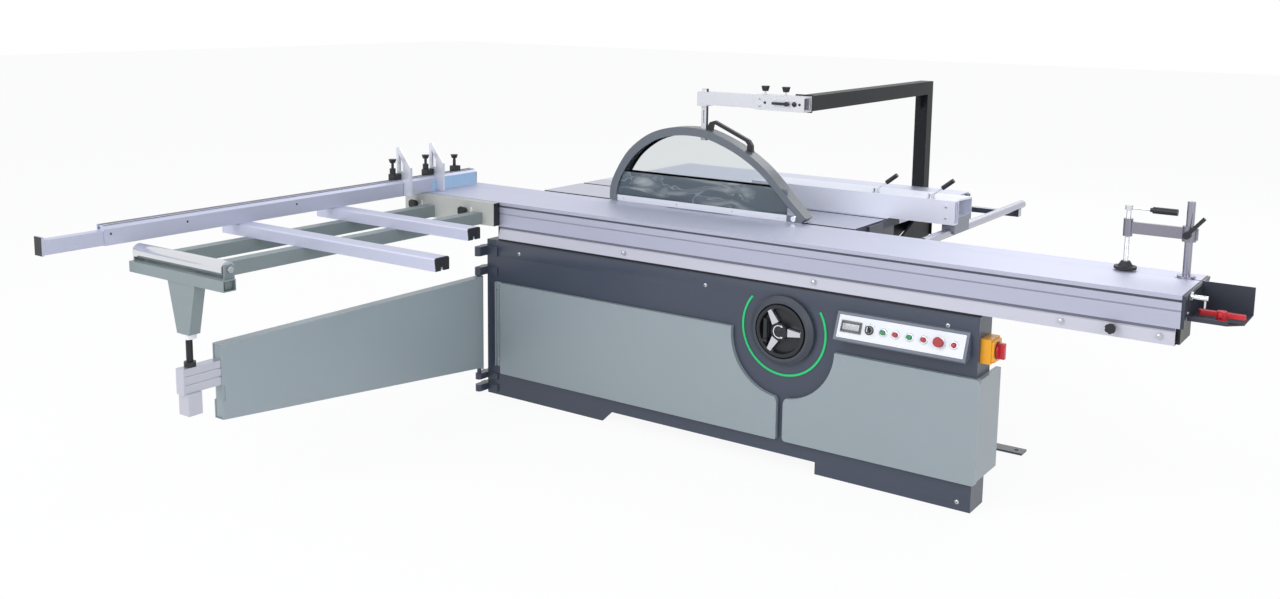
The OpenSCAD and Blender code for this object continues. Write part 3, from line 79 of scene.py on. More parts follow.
def seen_directly(tree):
    """1 for camera, mirror and see-through rays, and 0 for rays that light the object."""
    path = tree.nodes.new("ShaderNodeLightPath")
    first = calc(tree, "MAXIMUM", path.outputs["Is Camera Ray"], path.outputs["Is Glossy Ray"])
    return calc(tree, "MAXIMUM", first, path.outputs["Is Transmission Ray"])


world = bpy.data.worlds.new("studio")
bpy.context.scene.world = world
world.use_nodes = True
sky = world.node_tree
sky.nodes.clear()
soft = add(sky, "ShaderNodeBackground", Color=(0.90, 0.92, 1.0, 1), Strength=0.58)
white = add(sky, "ShaderNodeBackground", Color=(1, 1, 1, 1), Strength=1.0)
pick = sky.nodes.new("ShaderNodeMixShader")
sky.links.new(seen_directly(sky), pick.inputs["Fac"])
sky.links.new(soft.outputs[0], pick.inputs[1])
sky.links.new(white.outputs[0], pick.inputs[2])
sky.links.new(pick.outputs[0], add(sky, "ShaderNodeOutputWorld").inputs["Surface"])

for lamp_name, place, aim, size, power in (
    ("key", (-2.2, -6.5, 5.0), (0.0, -0.4, 0.6), 5.5, 300),
    ("fill", (6.0, -4.0, 3.2), (0.2, -0.5, 0.6), 4.5, 130),
    ("back", (0.5, 5.5, 5.5), (0.0, 0.0, 0.6), 5.0, 150),
):
    lamp = bpy.data.lights.new(lamp_name, "AREA")
    lamp.size = size
    lamp.energy = power
    stand = bpy.data.objects.new(lamp_name, lamp)
    stand.location = place
    stand.rotation_mode = "QUATERNION"
    stand.rotation_quaternion = (Vector(aim) - Vector(place)).to_track_quat("-Z", "Y")
    bpy.context.scene.collection.objects.link(stand)

floor_mesh = bpy.data.meshes.new("floor")
floor_mesh.from_pydata([(-30, -30, 0), (30, -30, 0), (30, 30, 0), (-30, 30, 0)], [], [(0, 1, 2, 3)])
floor = bpy.data.objects.new("floor", floor_mesh)
floor.location.z = -0.0008
bpy.context.scene.collection.objects.link(floor)
floor_paint = bpy.data.materials.new("floor")
floor_paint.use_nodes = True
floor_tree = floor_paint.node_tree
floor_tree.nodes["Principled BSDF"].inputs["Base Color"].default_value = (0.94, 0.94, 0.95, 1)
floor_tree.nodes["Principled BSDF"].inputs["Roughness"].default_value = 0.9
glow = add(floor_tree, "ShaderNodeEmission", Strength=1.0)
floor_mix = floor_tree.nodes.new("ShaderNodeMixShader")
floor_tree.links.new(calc(floor_tree, "MULTIPLY", seen_directly(floor_tree), 0.92), floor_mix.inputs["Fac"])
floor_tree.links.new(floor_tree.nodes["Principled BSDF"].outputs[0], floor_mix.inputs[1])
floor_tree.links.new(glow.outputs[0], floor_mix.inputs[2])
floor_tree.links.new(floor_mix.outputs[0], floor_tree.nodes["Material Output"].inputs["Surface"])
floor.data.materials.append(floor_paint)


# ---- Cabinet sheet -----------------------------------
# Folded steel sheet with a satin charcoal powder coat, on a plinth with two broad feet.
# The coat has a fine orange peel, a slightly uneven tone and thin paint along the folds.
def tone(code):
    """A sheet colour written RRGGBB, as linear light."""
    parts = [int(code[i:i + 2], 16) / 255 for i in (0, 2, 4)]
    return (*(c / 12.92 if c <= 0.04045 else ((c + 0.055) / 1.055) ** 2.4 for c in parts), 1.0)


def new_group(name, inputs, outputs):
    """An empty shader group with its sockets, and its two end nodes."""
    group = bpy.data.node_groups.new(name, "ShaderNodeTree")
    for label, kind, value in inputs:
        socket = group.interface.new_socket(label, in_out="INPUT", socket_type="NodeSocket" + kind)
        socket.default_value = value
    for label, kind in outputs:
        group.interface.new_socket(label, in_out="OUTPUT", socket_type="NodeSocket" + kind)
    return group, group.nodes.new("NodeGroupInput").outputs, group.nodes.new("NodeGroupOutput").inputs


def toned(tree, colour, gain):
    """The colour made lighter or darker by a gain."""
    node = add(tree, "ShaderNodeVectorMath", operation="SCALE")
    tree.links.new(colour, node.inputs[0])
    tree.links.new(gain, node.inputs["Scale"])
    return node.outputs[0]


# Uneven skin: a cloud and a fine speck on the colour, a cloud in the gloss, lighter folds, dust on top.
skin_group, given, out = new_group(
    "uneven_skin",
    [("Color", "Color", (0.5, 0.5, 0.5, 1)), ("Cloud", "Float", 0.1), ("Speck", "Float", 0.05),
     ("Speck Size", "Float", 900.0), ("Roughness", "Float", 0.4), ("Dust", "Float", 0.0),
     ("Fold", "Float", 0.0)],
    [("Color", "Color"), ("Roughness", "Float"), ("Height", "Float")])
tree = skin_group
where = add(tree, "ShaderNodeTexCoord")
cloud = add(tree, "ShaderNodeTexNoise", Scale=3.2, Detail=4.0, Roughness=0.6)
speck = add(tree, "ShaderNodeTexNoise", Detail=2.0)
tree.links.new(where.outputs["Object"], cloud.inputs["Vector"])
tree.links.new(where.outputs["Object"], speck.inputs["Vector"])
tree.links.new(given["Speck Size"], speck.inputs["Scale"])
cloud_off = calc(tree, "SUBTRACT", cloud.outputs["Fac"], 0.5)
speck_off = calc(tree, "SUBTRACT", speck.outputs["Fac"], 0.5)
round_edge = add(tree, "ShaderNodeBevel", Radius=0.0022, samples=4)
shape = add(tree, "ShaderNodeNewGeometry")
turn = add(tree, "ShaderNodeVectorMath", operation="DOT_PRODUCT")
tree.links.new(round_edge.outputs[0], turn.inputs[0])
tree.links.new(shape.outputs["True Normal"], turn.inputs[1])
at_fold = calc(tree, "MULTIPLY", calc(tree, "SUBTRACT", 1.0, turn.outputs["Value"]), given["Fold"])
clouded = calc(tree, "MULTIPLY", cloud_off, given["Cloud"])
gain = calc(tree, "ADD", clouded, calc(tree, "MULTIPLY", speck_off, given["Speck"]))
gain = calc(tree, "ADD", calc(tree, "ADD", gain, 1.0), at_fold)
facing_up = add(tree, "ShaderNodeSeparateXYZ")
tree.links.new(shape.outputs["Normal"], facing_up.inputs[0])
settled = calc(tree, "MULTIPLY", calc(tree, "MAXIMUM", facing_up.outputs["Z"], 0.0), given["Dust"])
settled = calc(tree, "MULTIPLY", settled, calc(tree, "ADD", cloud.outputs["Fac"], 0.2))
dusty = add(tree, "ShaderNodeMix", data_type="RGBA")
tree.links.new(settled, dusty.inputs["Factor"])
tree.links.new(toned(tree, given["Color"], gain), dusty.inputs["A"])
dusty.inputs["B"].default_value = (0.55, 0.54, 0.52, 1)
tree.links.new(dusty.outputs["Result"], out["Color"])
uneven_gloss = calc(tree, "MULTIPLY", cloud_off, 0.16)
tree.links.new(calc(tree, "ADD", uneven_gloss, given["Roughness"]), out["Roughness"])
tree.links.new(speck.outputs["Fac"], out["Height"])


def relief(tree, height, strength, depth):
    """Feeds a height into the surface's normal."""
    bump = add(tree, "ShaderNodeBump", Strength=strength, Distance=depth)
    tree.links.new(height, bump.inputs["Height"])
    tree.links.new(bump.outputs[0], tree.nodes["Principled BSDF"].inputs["Normal"])


def from_group(name, recipe, settings, metal, strength, depth):
    """A material that takes its colour, gloss and relief from a shader group."""
    mat = bpy.data.materials.new(name)
    mat.use_nodes = True
    tree = mat.node_tree
    shell = tree.nodes["Principled BSDF"]
    shell.inputs["Metallic"].default_value = metal
    group = add(tree, "ShaderNodeGroup", node_tree=recipe)
    for label, value in settings.items():
        group.inputs[label].default_value = value
    tree.links.new(group.outputs["Color"], shell.inputs["Base Color"])
    tree.links.new(group.outputs["Roughness"], shell.inputs["Roughness"])
    relief(tree, group.outputs["Height"], strength, depth)
    return mat


def skin(name, code, rough=0.4, cloud=0.1, speck=0.06, peel=0.0002, size=900.0, metal=0.0, coat=0.0,
         dust=0.0, fold=0.0):
    """A painted or moulded surface: uneven tone, fine texture and its own gloss."""
    settings = {"Color": tone(code), "Cloud": cloud, "Speck": speck, "Speck Size": size, "Roughness": rough,
                "Dust": dust, "Fold": fold}
    mat = from_group(name, skin_group, settings, metal, 0.3, peel)
    shell = mat.node_tree.nodes["Principled BSDF"]
    shell.inputs["Coat Weight"].default_value = coat
    shell.inputs["Coat Roughness"].default_value = 0.1
    return mat


def finish(node, base, *rules, bevel=0.0):
    """Puts finishes on a CAD node. A rule (material, test) takes each face whose corners pass the test."""
    obj = nodes[node]
    mesh = obj.data
    mesh.materials.clear()
    for mat in (base, *(mat for mat, _ in rules)):
        mesh.materials.append(mat)
    for face in mesh.polygons:
        face.material_index = 0
        corners = [mesh.vertices[i].co for i in face.vertices] if rules else []
        for i, (_, test) in enumerate(rules):
            if test(corners, face.normal):
                face.material_index = i + 1
    if bevel:
        mod = obj.modifiers.new("edge", "BEVEL")
        mod.width = bevel
        mod.segments = 2
        mod.limit_method = "ANGLE"
        mod.angle_limit = math.radians(50)


charcoal = skin("charcoal_coat", "3e4554", rough=0.34, cloud=0.2, dust=0.12, fold=1.0)
black_mould = skin("black_moulding", "1a1c21", rough=0.42, cloud=0.25, size=1400.0, fold=0.6)
finish("cabinet_shell", charcoal, bevel=0.0012)
finish("beam_supports", black_mould)

# ---- Cabinet covers, screws and seams ----------------
# A thin charcoal cover strip closes the cabinet's front under the beam, held by dome-head screws.
# The sheet behind it is the same steel; the screws are zinc plated.
FRONT_Y = -0.351
STRIP_X0, STRIP_X1 = -1.045, 1.0935
STRIP_Z0, STRIP_Z1 = 0.6205, 0.6845
STRIP_Y = FRONT_Y - 0.0009


def facing(at, out_dir, up_dir=(0, 0, 1)):
    """A frame at a point whose z looks out of the surface and whose y runs along up_dir."""
    z = Vector(out_dir).normalized()
    x = Vector(up_dir).cross(z).normalized()
    return Matrix.Translation(at) @ Matrix((x, z.cross(x), z)).transposed().to_4x4()


def join(bm, part, mat, at):
    """Adds a finished little mesh to a piece, in its place and with its finish."""
    for face in part.faces:
        face.material_index = mat
    if at is not None:
        bmesh.ops.transform(part, matrix=at, verts=part.verts)
    bmesh.ops.recalc_face_normals(part, faces=part.faces)
    scrap = bpy.data.meshes.new("scrap")
    part.to_mesh(scrap)
    part.free()
    bm.from_mesh(scrap)
    bpy.data.meshes.remove(scrap)


def slab(bm, lo, hi, mat=0, edge=0.0, at=None):
    """A block with rounded edges."""
    part = bmesh.new()
    lo, hi = Vector(lo), Vector(hi)
    stretched = Matrix.Translation((lo + hi) / 2) @ Matrix.Diagonal((*(hi - lo), 1))
    bmesh.ops.create_cube(part, size=1.0, matrix=stretched)
    if edge:
        bmesh.ops.bevel(part, geom=part.edges[:], offset=edge, segments=2, profile=0.5, affect="EDGES")
    join(bm, part, mat, at)


def turned(bm, profile, at, mat=0, steps=28):
    """A turned shape from (radius, height) pairs, standing along the frame's z."""
    part = bmesh.new()
    rings = []
    for r, z in profile:
        angles = [math.tau * i / steps for i in range(1 if r == 0 else steps)]
        rings.append([part.verts.new((r * math.cos(a), r * math.sin(a), z)) for a in angles])
    for a, b in zip(rings, rings[1:]):
        for i in range(steps):
            j = (i + 1) % steps
            loop = [a[i % len(a)], a[j % len(a)], b[j % len(b)], b[i % len(b)]]
            loop = [v for n, v in enumerate(loop) if v not in loop[:n]]
            if len(loop) > 2:
                part.faces.new(loop)
    join(bm, part, mat, at)


def piece(name, bm, body, slot, *mats, sharp=35):
    """Makes the piece an object that rides on a body."""
    mesh = bpy.data.meshes.new(name)
    bm.to_mesh(mesh)
    bm.free()
    for mat in mats:
        mesh.materials.append(mat)
    mesh.shade_smooth()
    mesh.set_sharp_from_angle(angle=math.radians(sharp))
    obj = bpy.data.objects.new(name, mesh)
    bpy.context.scene.collection.objects.link(obj)
    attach(obj, body)
    return obj


def dome_screw(bm, at, r=0.0055, mat=0, dark=1):
    """A dome-head screw with a hexagon socket, on a thin washer."""
    turned(bm, [(0, 0), (r * 1.3, 0), (r * 1.3, r * 0.16), (r, r * 0.18), (r * 0.94, r * 0.42),
                (r * 0.7, r * 0.62), (r * 0.46, r * 0.68), (r * 0.44, r * 0.34), (0, r * 0.34)], at, mat, 20)
    turned(bm, [(0, r * 0.36), (r * 0.44, r * 0.36)], at, dark, 6)


zinc = skin("zinc_plate", "c3c5ca", rough=0.28, cloud=0.2, speck=0.1, metal=1.0, size=500.0)
socket_dark = skin("socket_dark", "25272b", rough=0.6)
bm = bmesh.new()
slab(bm, (STRIP_X0, STRIP_Y, STRIP_Z0), (STRIP_X1, FRONT_Y + 0.0002, STRIP_Z1), 0, 0.0004)
piece("front_cover_strip", bm, "cabinet", "charcoal_paint", charcoal)
bm = bmesh.new()
for x in (-0.916, 0.018, 0.988):
    dome_screw(bm, facing((x, STRIP_Y, 0.643), (0, -1, 0)), 0.0058)
for x in (-1.05, 1.05):
    dome_screw(bm, facing((x, FRONT_Y, 0.030), (0, -1, 0)), 0.006)
piece("front_screws", bm, "cabinet", "steel", zinc, socket_dark)

# ---- Pale front panels and arm hinge channel ---------
# Two pale grey steel panels stand proud of the cabinet's front, the right one folded round the end.
# Beside the left one a folded channel carries the swing arm's hinge pin.
CHANNEL_Z0, CHANNEL_Z1 = 0.133, 0.507
pale = skin("pale_coat", "929da1", rough=0.36, cloud=0.07, speck=0.03, fold=0.5)
finish("front_panels", pale, bevel=0.0016)
bm = bmesh.new()
slab(bm, (-1.044, FRONT_Y - 0.0065, CHANNEL_Z0), (-1.0140, FRONT_Y - 0.0005, CHANNEL_Z1), 0, 0.0012)
slab(bm, (-1.0435, FRONT_Y - 0.015, CHANNEL_Z0), (-1.0395, FRONT_Y - 0.005, CHANNEL_Z1), 0, 0.001)
slab(bm, (-1.0260, FRONT_Y - 0.0105, 0.140), (-1.0205, FRONT_Y - 0.005, 0.500), 0, 0.002)
for z in (0.165, 0.320, 0.475):
    dome_screw(bm, facing((-1.0325, FRONT_Y - 0.0065, z), (0, -1, 0)), 0.0042, 1, 2)
piece("hinge_channel", bm, "cabinet", "panel_paint", pale, zinc, socket_dark)
finish("hinge_lugs", charcoal, bevel=0.001)

# ---- Green arc ---------------------------------------
# A satin green plastic strip set into the charcoal sheet round the handwheel.
# It is glued on and slightly rounded over.
green_strip = skin("green_strip", "1fc474", rough=0.36, cloud=0.06, speck=0.03, size=1500.0)
finish("green_arc", green_strip)

# ---- Handwheel and its bezel -------------------------
# A dished black moulded wheel with three tapered aluminium spokes and a folding grip at its edge.
# It turns in a soft grey moulded ring; the hub has a printed arrow for the raising direction.
WHEEL = Vector((0.3615, 0.0, 0.524))
HUB_Y = -0.389
GRIP_X, GRIP_Y, GRIP_Z0 = 0.3035, -0.385, 0.4825
grey_mould = skin("grey_moulding", "3c424c", rough=0.5, cloud=0.1, speck=0.08, size=1600.0)
satin_alu = skin("satin_aluminium", "cfd1d8", rough=0.3, cloud=0.1, speck=0.2, metal=1.0, size=1200.0)
print_white = skin("white_print", "e6e8ea", rough=0.5, cloud=0.05)


def on_spoke(corners, normal):
    """The bright faces of the three spokes."""
    mid = sum(corners, Vector()) / len(corners) - WHEEL
    reach = math.hypot(mid.x, mid.z)
    if not 0.0337 < reach < 0.0868 or max(c.y for c in corners) > -0.3656 and abs(normal.y) > 0.9:
        return False
    for a in (0, 120, 240):
        d = Vector((math.cos(math.radians(a)), 0, math.sin(math.radians(a))))
        if mid.dot(d) > 0 and abs(mid.x * d.z - mid.z * d.x) < 0.0155:
            return all(math.hypot(c.x - WHEEL.x, c.z - WHEEL.z) < 0.0895 for c in corners)
    return False


def prism(bm, outline, z0, z1, at=None, mat=0, edge=0.0):
    """A flat outline given some thickness along the frame's z."""
    part = bmesh.new()
    low = [part.verts.new((x, y, z0)) for x, y in outline]
    high = [part.verts.new((x, y, z1)) for x, y in outline]
    part.faces.new(low[::-1])
    part.faces.new(high)
    for i in range(len(outline)):
        j = (i + 1) % len(outline)
        part.faces.new((low[i], low[j], high[j], high[i]))
    if edge:
        rim = [e for e in part.edges if all(v in high for v in e.verts)]
        bmesh.ops.bevel(part, geom=rim, offset=edge, segments=2, profile=0.5, affect="EDGES")
    join(bm, part, mat, at)


def arc_band(r0, r1, a0, a1, steps=24):
    """The outline of a flat ring sector, angles in degrees."""
    ang = [math.radians(a0 + (a1 - a0) * i / steps) for i in range(steps + 1)]
    outer = [(r1 * math.cos(a), r1 * math.sin(a)) for a in ang]
    return outer + [(r0 * math.cos(a), r0 * math.sin(a)) for a in ang[::-1]]


finish("handwheel", black_mould, (satin_alu, on_spoke), bevel=0.0007)
finish("wheel_grip", black_mould)
finish("wheel_bezel", grey_mould)
bm = bmesh.new()
hub = facing((WHEEL.x, HUB_Y - 0.0002, WHEEL.z), (0, -1, 0))
prism(bm, arc_band(0.0215, 0.0245, 70, 292), 0, 0.0005, hub)
for a, s in ((292, 1), (70, -1)):
    tip = Matrix.Rotation(math.radians(a), 4, "Z") @ Matrix.Translation((0.023, 0, 0))
    prism(bm, [(-0.0045, 0), (0.0045, 0), (0, 0.008 * s)], 0, 0.0005, hub @ tip)
piece("hub_arrow", bm, "handwheel", "white_plate", print_white)
bm = bmesh.new()
turned(bm, [(0.0325, 0), (0.0325, 0.0009), (0.0305, 0.0012), (0.0298, 0.0004), (0.0298, 0)], hub, 0, 48)
turned(bm, [(0, 0), (0.0115, 0), (0.0115, 0.0006), (0.0105, 0.0011), (0, 0.0012)], hub, 0, 32)
piece("hub_cap", bm, "handwheel", "black_plastic", black_mould)
bm = bmesh.new()
for i in range(14):
    turned(bm, [(0.00905, -0.0011), (0.0094, -0.0006), (0.0094, 0.0006), (0.00905, 0.0011)],
           Matrix.Translation((GRIP_X, GRIP_Y, GRIP_Z0 + i * 0.0055)), 0, 24)
piece("grip_ribs", bm, "wheel_grip", "black_plastic", black_mould)

# ---- Control console ---------------------------------
# A sloping grey sheet-metal box with a white plate: counter, selector, push buttons, mushroom stop
# and a lamp. Each push button sits in a bright ring; the plate is held by small screws.
console_grey = skin("console_coat", "5b6270", rough=0.32, cloud=0.1, fold=0.8)
plate_white = skin("white_plate_coat", "dfe2e8", rough=0.35, cloud=0.04, speck=0.02)
screen_dark = skin("display_case", "202329", rough=0.22, cloud=0.1, coat=0.4)
lamp_red = skin("red_lens", "a8222e", rough=0.3, cloud=0.1)
red_cap = skin("red_cap", "9c0f1c", rough=0.42, cloud=0.1)
green_cap = skin("green_cap", "0f7a48", rough=0.42, cloud=0.1)
FACE = Matrix.Translation((0.5835, -0.399, 0.538)) @ Matrix.Rotation(math.radians(68), 4, "X")
to_face = FACE.inverted()
FACE_H = 0.102
PLATE_START, PLATE_RUN = 0.010, 0.467
SELECTOR, BUTTONS, MUSHROOM, LAMP = 0.257, (0.37, 0.47, 0.58, 0.69), 0.807, 0.92
LAMP_R = 0.011


def along_plate(share):
    """Distance along the plate, from its left end to its right."""
    return PLATE_START + PLATE_RUN * share


def spot(share):
    """The frame of a control on the plate's middle line."""
    return Matrix.Translation((along_plate(share), FACE_H / 2, 0))


def face_zone(x0, x1, z0, z1=1.0):
    """A rule's test in the plate's own frame."""
    def test(corners, normal):
        local = [to_face @ c for c in corners]
        return all(x0 <= c.x <= x1 and z0 <= c.z <= z1 for c in local)
    return test


finish("console_bezel", console_grey, bevel=0.0015)
finish("control_plate", plate_white, (screen_dark, face_zone(0.0215, 0.1005, -0.0001)),
       (lamp_red, face_zone(along_plate(LAMP) - LAMP_R, along_plate(LAMP) + LAMP_R, -0.02)))
for name, cap in (("button_1", green_cap), ("button_2", red_cap), ("button_3", green_cap),
                  ("button_4", red_cap), ("estop_button", red_cap), ("selector_knob", black_mould)):
    finish(name, cap)
screen_glass = skin("counter_window", "b9c0c4", rough=0.12, cloud=0.1, coat=0.6)
digit_dark = skin("counter_digits", "30343a", rough=0.5)
bm = bmesh.new()
screen = FACE @ Matrix.Translation((0.061, FACE_H / 2 + 0.001, 0.004))
slab(bm, (-0.031, -0.011, -0.0004), (0.031, 0.010, 0.0004), 1, 0.0002, screen)
for x0, y0, x1, y1 in ((-0.036, 0.0125, 0.036, 0.0165), (-0.036, -0.0165, 0.036, -0.0135),
                       (-0.036, -0.0165, -0.033, 0.0165), (0.033, -0.0165, 0.036, 0.0165)):
    slab(bm, (x0, y0, 0), (x1, y1, 0.0016), 0, 0.0005, screen)
for i in range(5):
    digit_x = -0.0225 + i * 0.0112
    strokes = ((-0.0032, 0.0062, 0.0032, 0.0072), (-0.0032, -0.0005, 0.0032, 0.0005),
               (-0.0032, -0.0072, 0.0032, -0.0062), (-0.0036, -0.0066, -0.0026, 0.0066),
               (0.0026, -0.0066, 0.0036, 0.0066))
    for x0, y0, x1, y1 in strokes[(i % 2):]:
        slab(bm, (digit_x + x0, y0 - 0.0005, 0.0004), (digit_x + x1, y1 - 0.0005, 0.0006), 2, 0, screen)
piece("counter_display", bm, "cabinet", "console_grey", screen_dark, screen_glass, digit_dark)
bm = bmesh.new()
ring = [(0.0150, 0), (0.0150, 0.0012), (0.0140, 0.0026), (0.0118, 0.0034), (0.0104, 0.0034),
        (0.0100, 0.0022), (0.0100, 0)]
for share in (*BUTTONS, LAMP):
    turned(bm, ring, FACE @ spot(share), 0, 40)
turned(bm, [(0.0165, 0), (0.0165, 0.0014), (0.0150, 0.0022), (0.0128, 0.0022), (0.0128, 0)],
       FACE @ spot(SELECTOR), 1, 40)
turned(bm, [(0.0185, 0), (0.0185, 0.0008), (0.0175, 0.0012), (0.0142, 0.0012), (0.0142, 0)],
       FACE @ spot(MUSHROOM), 0, 40)
piece("button_rings", bm, "cabinet", "chrome", satin_alu, black_mould)
bm = bmesh.new()
for share in (0.02, 0.50, 0.98):
    for y in (0.0165, FACE_H - 0.0165):
        dome_screw(bm, FACE @ Matrix.Translation((along_plate(share), y, 0)), 0.0026)
for a in (-45, 0, 45):
    mark = Matrix.Rotation(math.radians(a), 4, "Z") @ Matrix.Translation((0, 0.0205, 0))
    slab(bm, (-0.0007, 0, 0), (0.0007, 0.0045, 0.0002), 1, 0, FACE @ spot(SELECTOR) @ mark)
piece("plate_marks", bm, "cabinet", "white_plate", zinc, digit_dark)
bm = bmesh.new()
knob_top = FACE @ spot(SELECTOR) @ Matrix.Translation((0, 0, 0.0213))
slab(bm, (-0.0012, -0.0090, 0), (0.0012, 0.0090, 0.0006), 0, 0.0002, knob_top)
piece("selector_line", bm, "selector", "white_plate", print_white)

# ---- Mains isolator ----------------------------------
# A yellow moulded switch box on the cabinet's end with a red rotary knob and a black lock ring.
# Two screws hold its cover.
ISOLATOR_FACE = (1.1415, -0.289, 0.568)
yellow_mould = skin("yellow_moulding", "e9a21c", rough=0.35, cloud=0.08, size=1300.0)
finish("isolator_body", yellow_mould, bevel=0.0015)
finish("isolator_knob", skin("red_moulding", "c22430", rough=0.3, cloud=0.08, size=1300.0), bevel=0.001)
bm = bmesh.new()
iso = facing(ISOLATOR_FACE, (1, 0, 0))
turned(bm, [(0.0305, 0), (0.0305, 0.0012), (0.0295, 0.0018), (0.0275, 0.0018), (0.0275, 0)], iso, 0, 48)
for x, y in ((-0.031, 0.031), (0.031, -0.031)):
    dome_screw(bm, iso @ Matrix.Translation((x, y, 0)), 0.003, 1, 2)
piece("isolator_trim", bm, "cabinet", "black_plastic", black_mould, zinc, socket_dark)

# ---- Extruded aluminium ------------------------------
# The long carriage and its beam are clear-anodised extrusions with fine die lines along their length.
# Black plastic plates close their ends; a dark steel tray with a light lip ends the carriage.
line_group, given, out = new_group(
    "drawn_lines",
    [("Color", "Color", (0.5, 0.5, 0.5, 1)), ("Stretch", "Vector", (1, 60, 60)), ("Contrast", "Float", 0.12),
     ("Roughness", "Float", 0.35), ("Stain", "Float", 0.05)],
    [("Color", "Color"), ("Roughness", "Float"), ("Height", "Float")])
tree = line_group
where = add(tree, "ShaderNodeTexCoord")
pull = add(tree, "ShaderNodeVectorMath", operation="MULTIPLY")
tree.links.new(where.outputs["Object"], pull.inputs[0])
tree.links.new(given["Stretch"], pull.inputs[1])
streak = add(tree, "ShaderNodeTexNoise", Scale=8.0, Detail=6.0, Roughness=0.7)
tree.links.new(pull.outputs[0], streak.inputs["Vector"])
cloud = add(tree, "ShaderNodeTexNoise", Scale=2.0, Detail=3.0)
tree.links.new(where.outputs["Object"], cloud.inputs["Vector"])
grain = calc(tree, "SUBTRACT", streak.outputs["Fac"], 0.5)
stain = calc(tree, "MULTIPLY", calc(tree, "SUBTRACT", cloud.outputs["Fac"], 0.5), given["Stain"])
gain = calc(tree, "ADD", calc(tree, "ADD", calc(tree, "MULTIPLY", grain, given["Contrast"]), stain), 1.0)
tree.links.new(toned(tree, given["Color"], gain), out["Color"])
tree.links.new(calc(tree, "ADD", calc(tree, "MULTIPLY", grain, 0.22), given["Roughness"]), out["Roughness"])
tree.links.new(streak.outputs["Fac"], out["Height"])


def drawn(name, code, along="x", rough=0.46, contrast=0.1, metal=0.4, fine=60.0):
    """Metal drawn, milled or brushed along one axis."""
    stretch = {"x": (0.6, fine, fine), "y": (fine, 0.6, fine), "z": (fine, fine, 0.6)}[along]
    settings = {"Color": tone(code), "Stretch": stretch, "Contrast": contrast, "Roughness": rough,
                "Stain": 0.06}
    return from_group(name, line_group, settings, metal, 0.4, 0.00006)


alu_x = drawn("anodised_x", "c2c5d8", "x")
chrome = skin("chrome", "dcdee2", rough=0.08, cloud=0.05, speck=0.02, metal=1.0)
groove = skin("groove_shadow", "676977", rough=0.7, cloud=0.2)
# A darker, matte copy of the anodised colour for the slot walls: painted shade inside the slots.
slot_shade_alu = drawn("anodised_slot_shade", "9b9dab", "x", rough=0.6, metal=0.0)
# A darker copy of the anodised colour for the carriage's front faces: painted shade, darker than the top.
shaded_side_alu = drawn("anodised_side_shade", "b2b4c6", "x")
beam_alu = drawn("anodised_beam", "c6c6d2", "x")
tray_coat = skin("tray_coat", "2f3440", rough=0.42, cloud=0.15, fold=0.6)
PIN = Vector((0, -0.308, 0.846))
TOP_Z = 0.860
NEAR_END_X, FAR_END_X = 1.734, -1.482
SLOT_Y0, SLOT_Y1 = -0.1199, -0.1097
BEAM_X0 = -1.006
BEAM_FRONT = -0.373
BOLT_Z = 0.725


def within(x=None, y=None, z=None):
    """A rule's test: every corner of the face lies inside these ranges."""
    limits = [(axis, span) for axis, span in enumerate((x, y, z)) if span]
    return lambda corners, normal: all(lo <= c[axis] <= hi for axis, (lo, hi) in limits for c in corners)


def on_pin(corners, normal):
    """The latch pin that stands in the near end's tray."""
    return all(c.x > 1.7365 and math.hypot(c.y - PIN.y, c.z - PIN.z) < 0.0165 for c in corners)


def in_slot(corners, normal):
    """The walls of the two long slots in the carriage's front, which are painted darker as shade inside the
    slots.
    """
    low, high = min(c.z for c in corners), max(c.z for c in corners)
    return (all(-0.3741 < c.y < -0.3565 for c in corners) and max(c.y for c in corners) > -0.3735
            and (0.8295 < low and high < 0.8505 or 0.8075 < low and high < 0.8135))


# Painted shade: the front faces take a darker copy of the anodised colour, and the slot walls take a darker
# matte copy.
finish("sliding_table", alu_x, (shaded_side_alu, lambda corners, normal: normal.y < -0.7),
       (tray_coat, within(x=(1.7239, 1.9))), (black_mould, within(x=(-1.49, -1.4759))),
       (slot_shade_alu, in_slot), (chrome, on_pin),
       (chrome, within(x=(1.7715, 1.7805), y=(PIN.y - 0.0045, PIN.y + 0.0045), z=(0.79, 0.856))),
       (alu_x, lambda corners, normal: normal.z > 0.9 and all(c.z > 0.865 for c in corners)), bevel=0.0008)
finish("slide_beam", beam_alu, (black_mould, within(x=(-1.02, -1.0059))),
       (black_mould, within(x=(1.7119, 1.73))), (zinc, within(y=(-0.39, -0.3731))), bevel=0.0006)
bm = bmesh.new()
for along in (0.653, 1.495, 2.375, 2.674):
    washer = facing((BEAM_X0 + along, BEAM_FRONT, BOLT_Z), (0, -1, 0))
    head = facing((BEAM_X0 + along, BEAM_FRONT - 0.008, BOLT_Z), (0, -1, 0))
    turned(bm, [(0.0118, 0), (0.0118, 0.0012), (0.0080, 0.0014)], washer, 0, 28)
    turned(bm, [(0.0079, 0), (0.0074, 0.0014), (0.0048, 0.0026), (0, 0.0030)], head, 0, 28)
piece("beam_bolts", bm, "cabinet", "steel", zinc)
bm = bmesh.new()
slab(bm, (-1.4755, SLOT_Y0, TOP_Z - 0.0015), (1.6450, SLOT_Y1, TOP_Z - 0.0002), 0, 0.0002)
piece("slot_cover", bm, "carriage", "aluminium", alu_x)
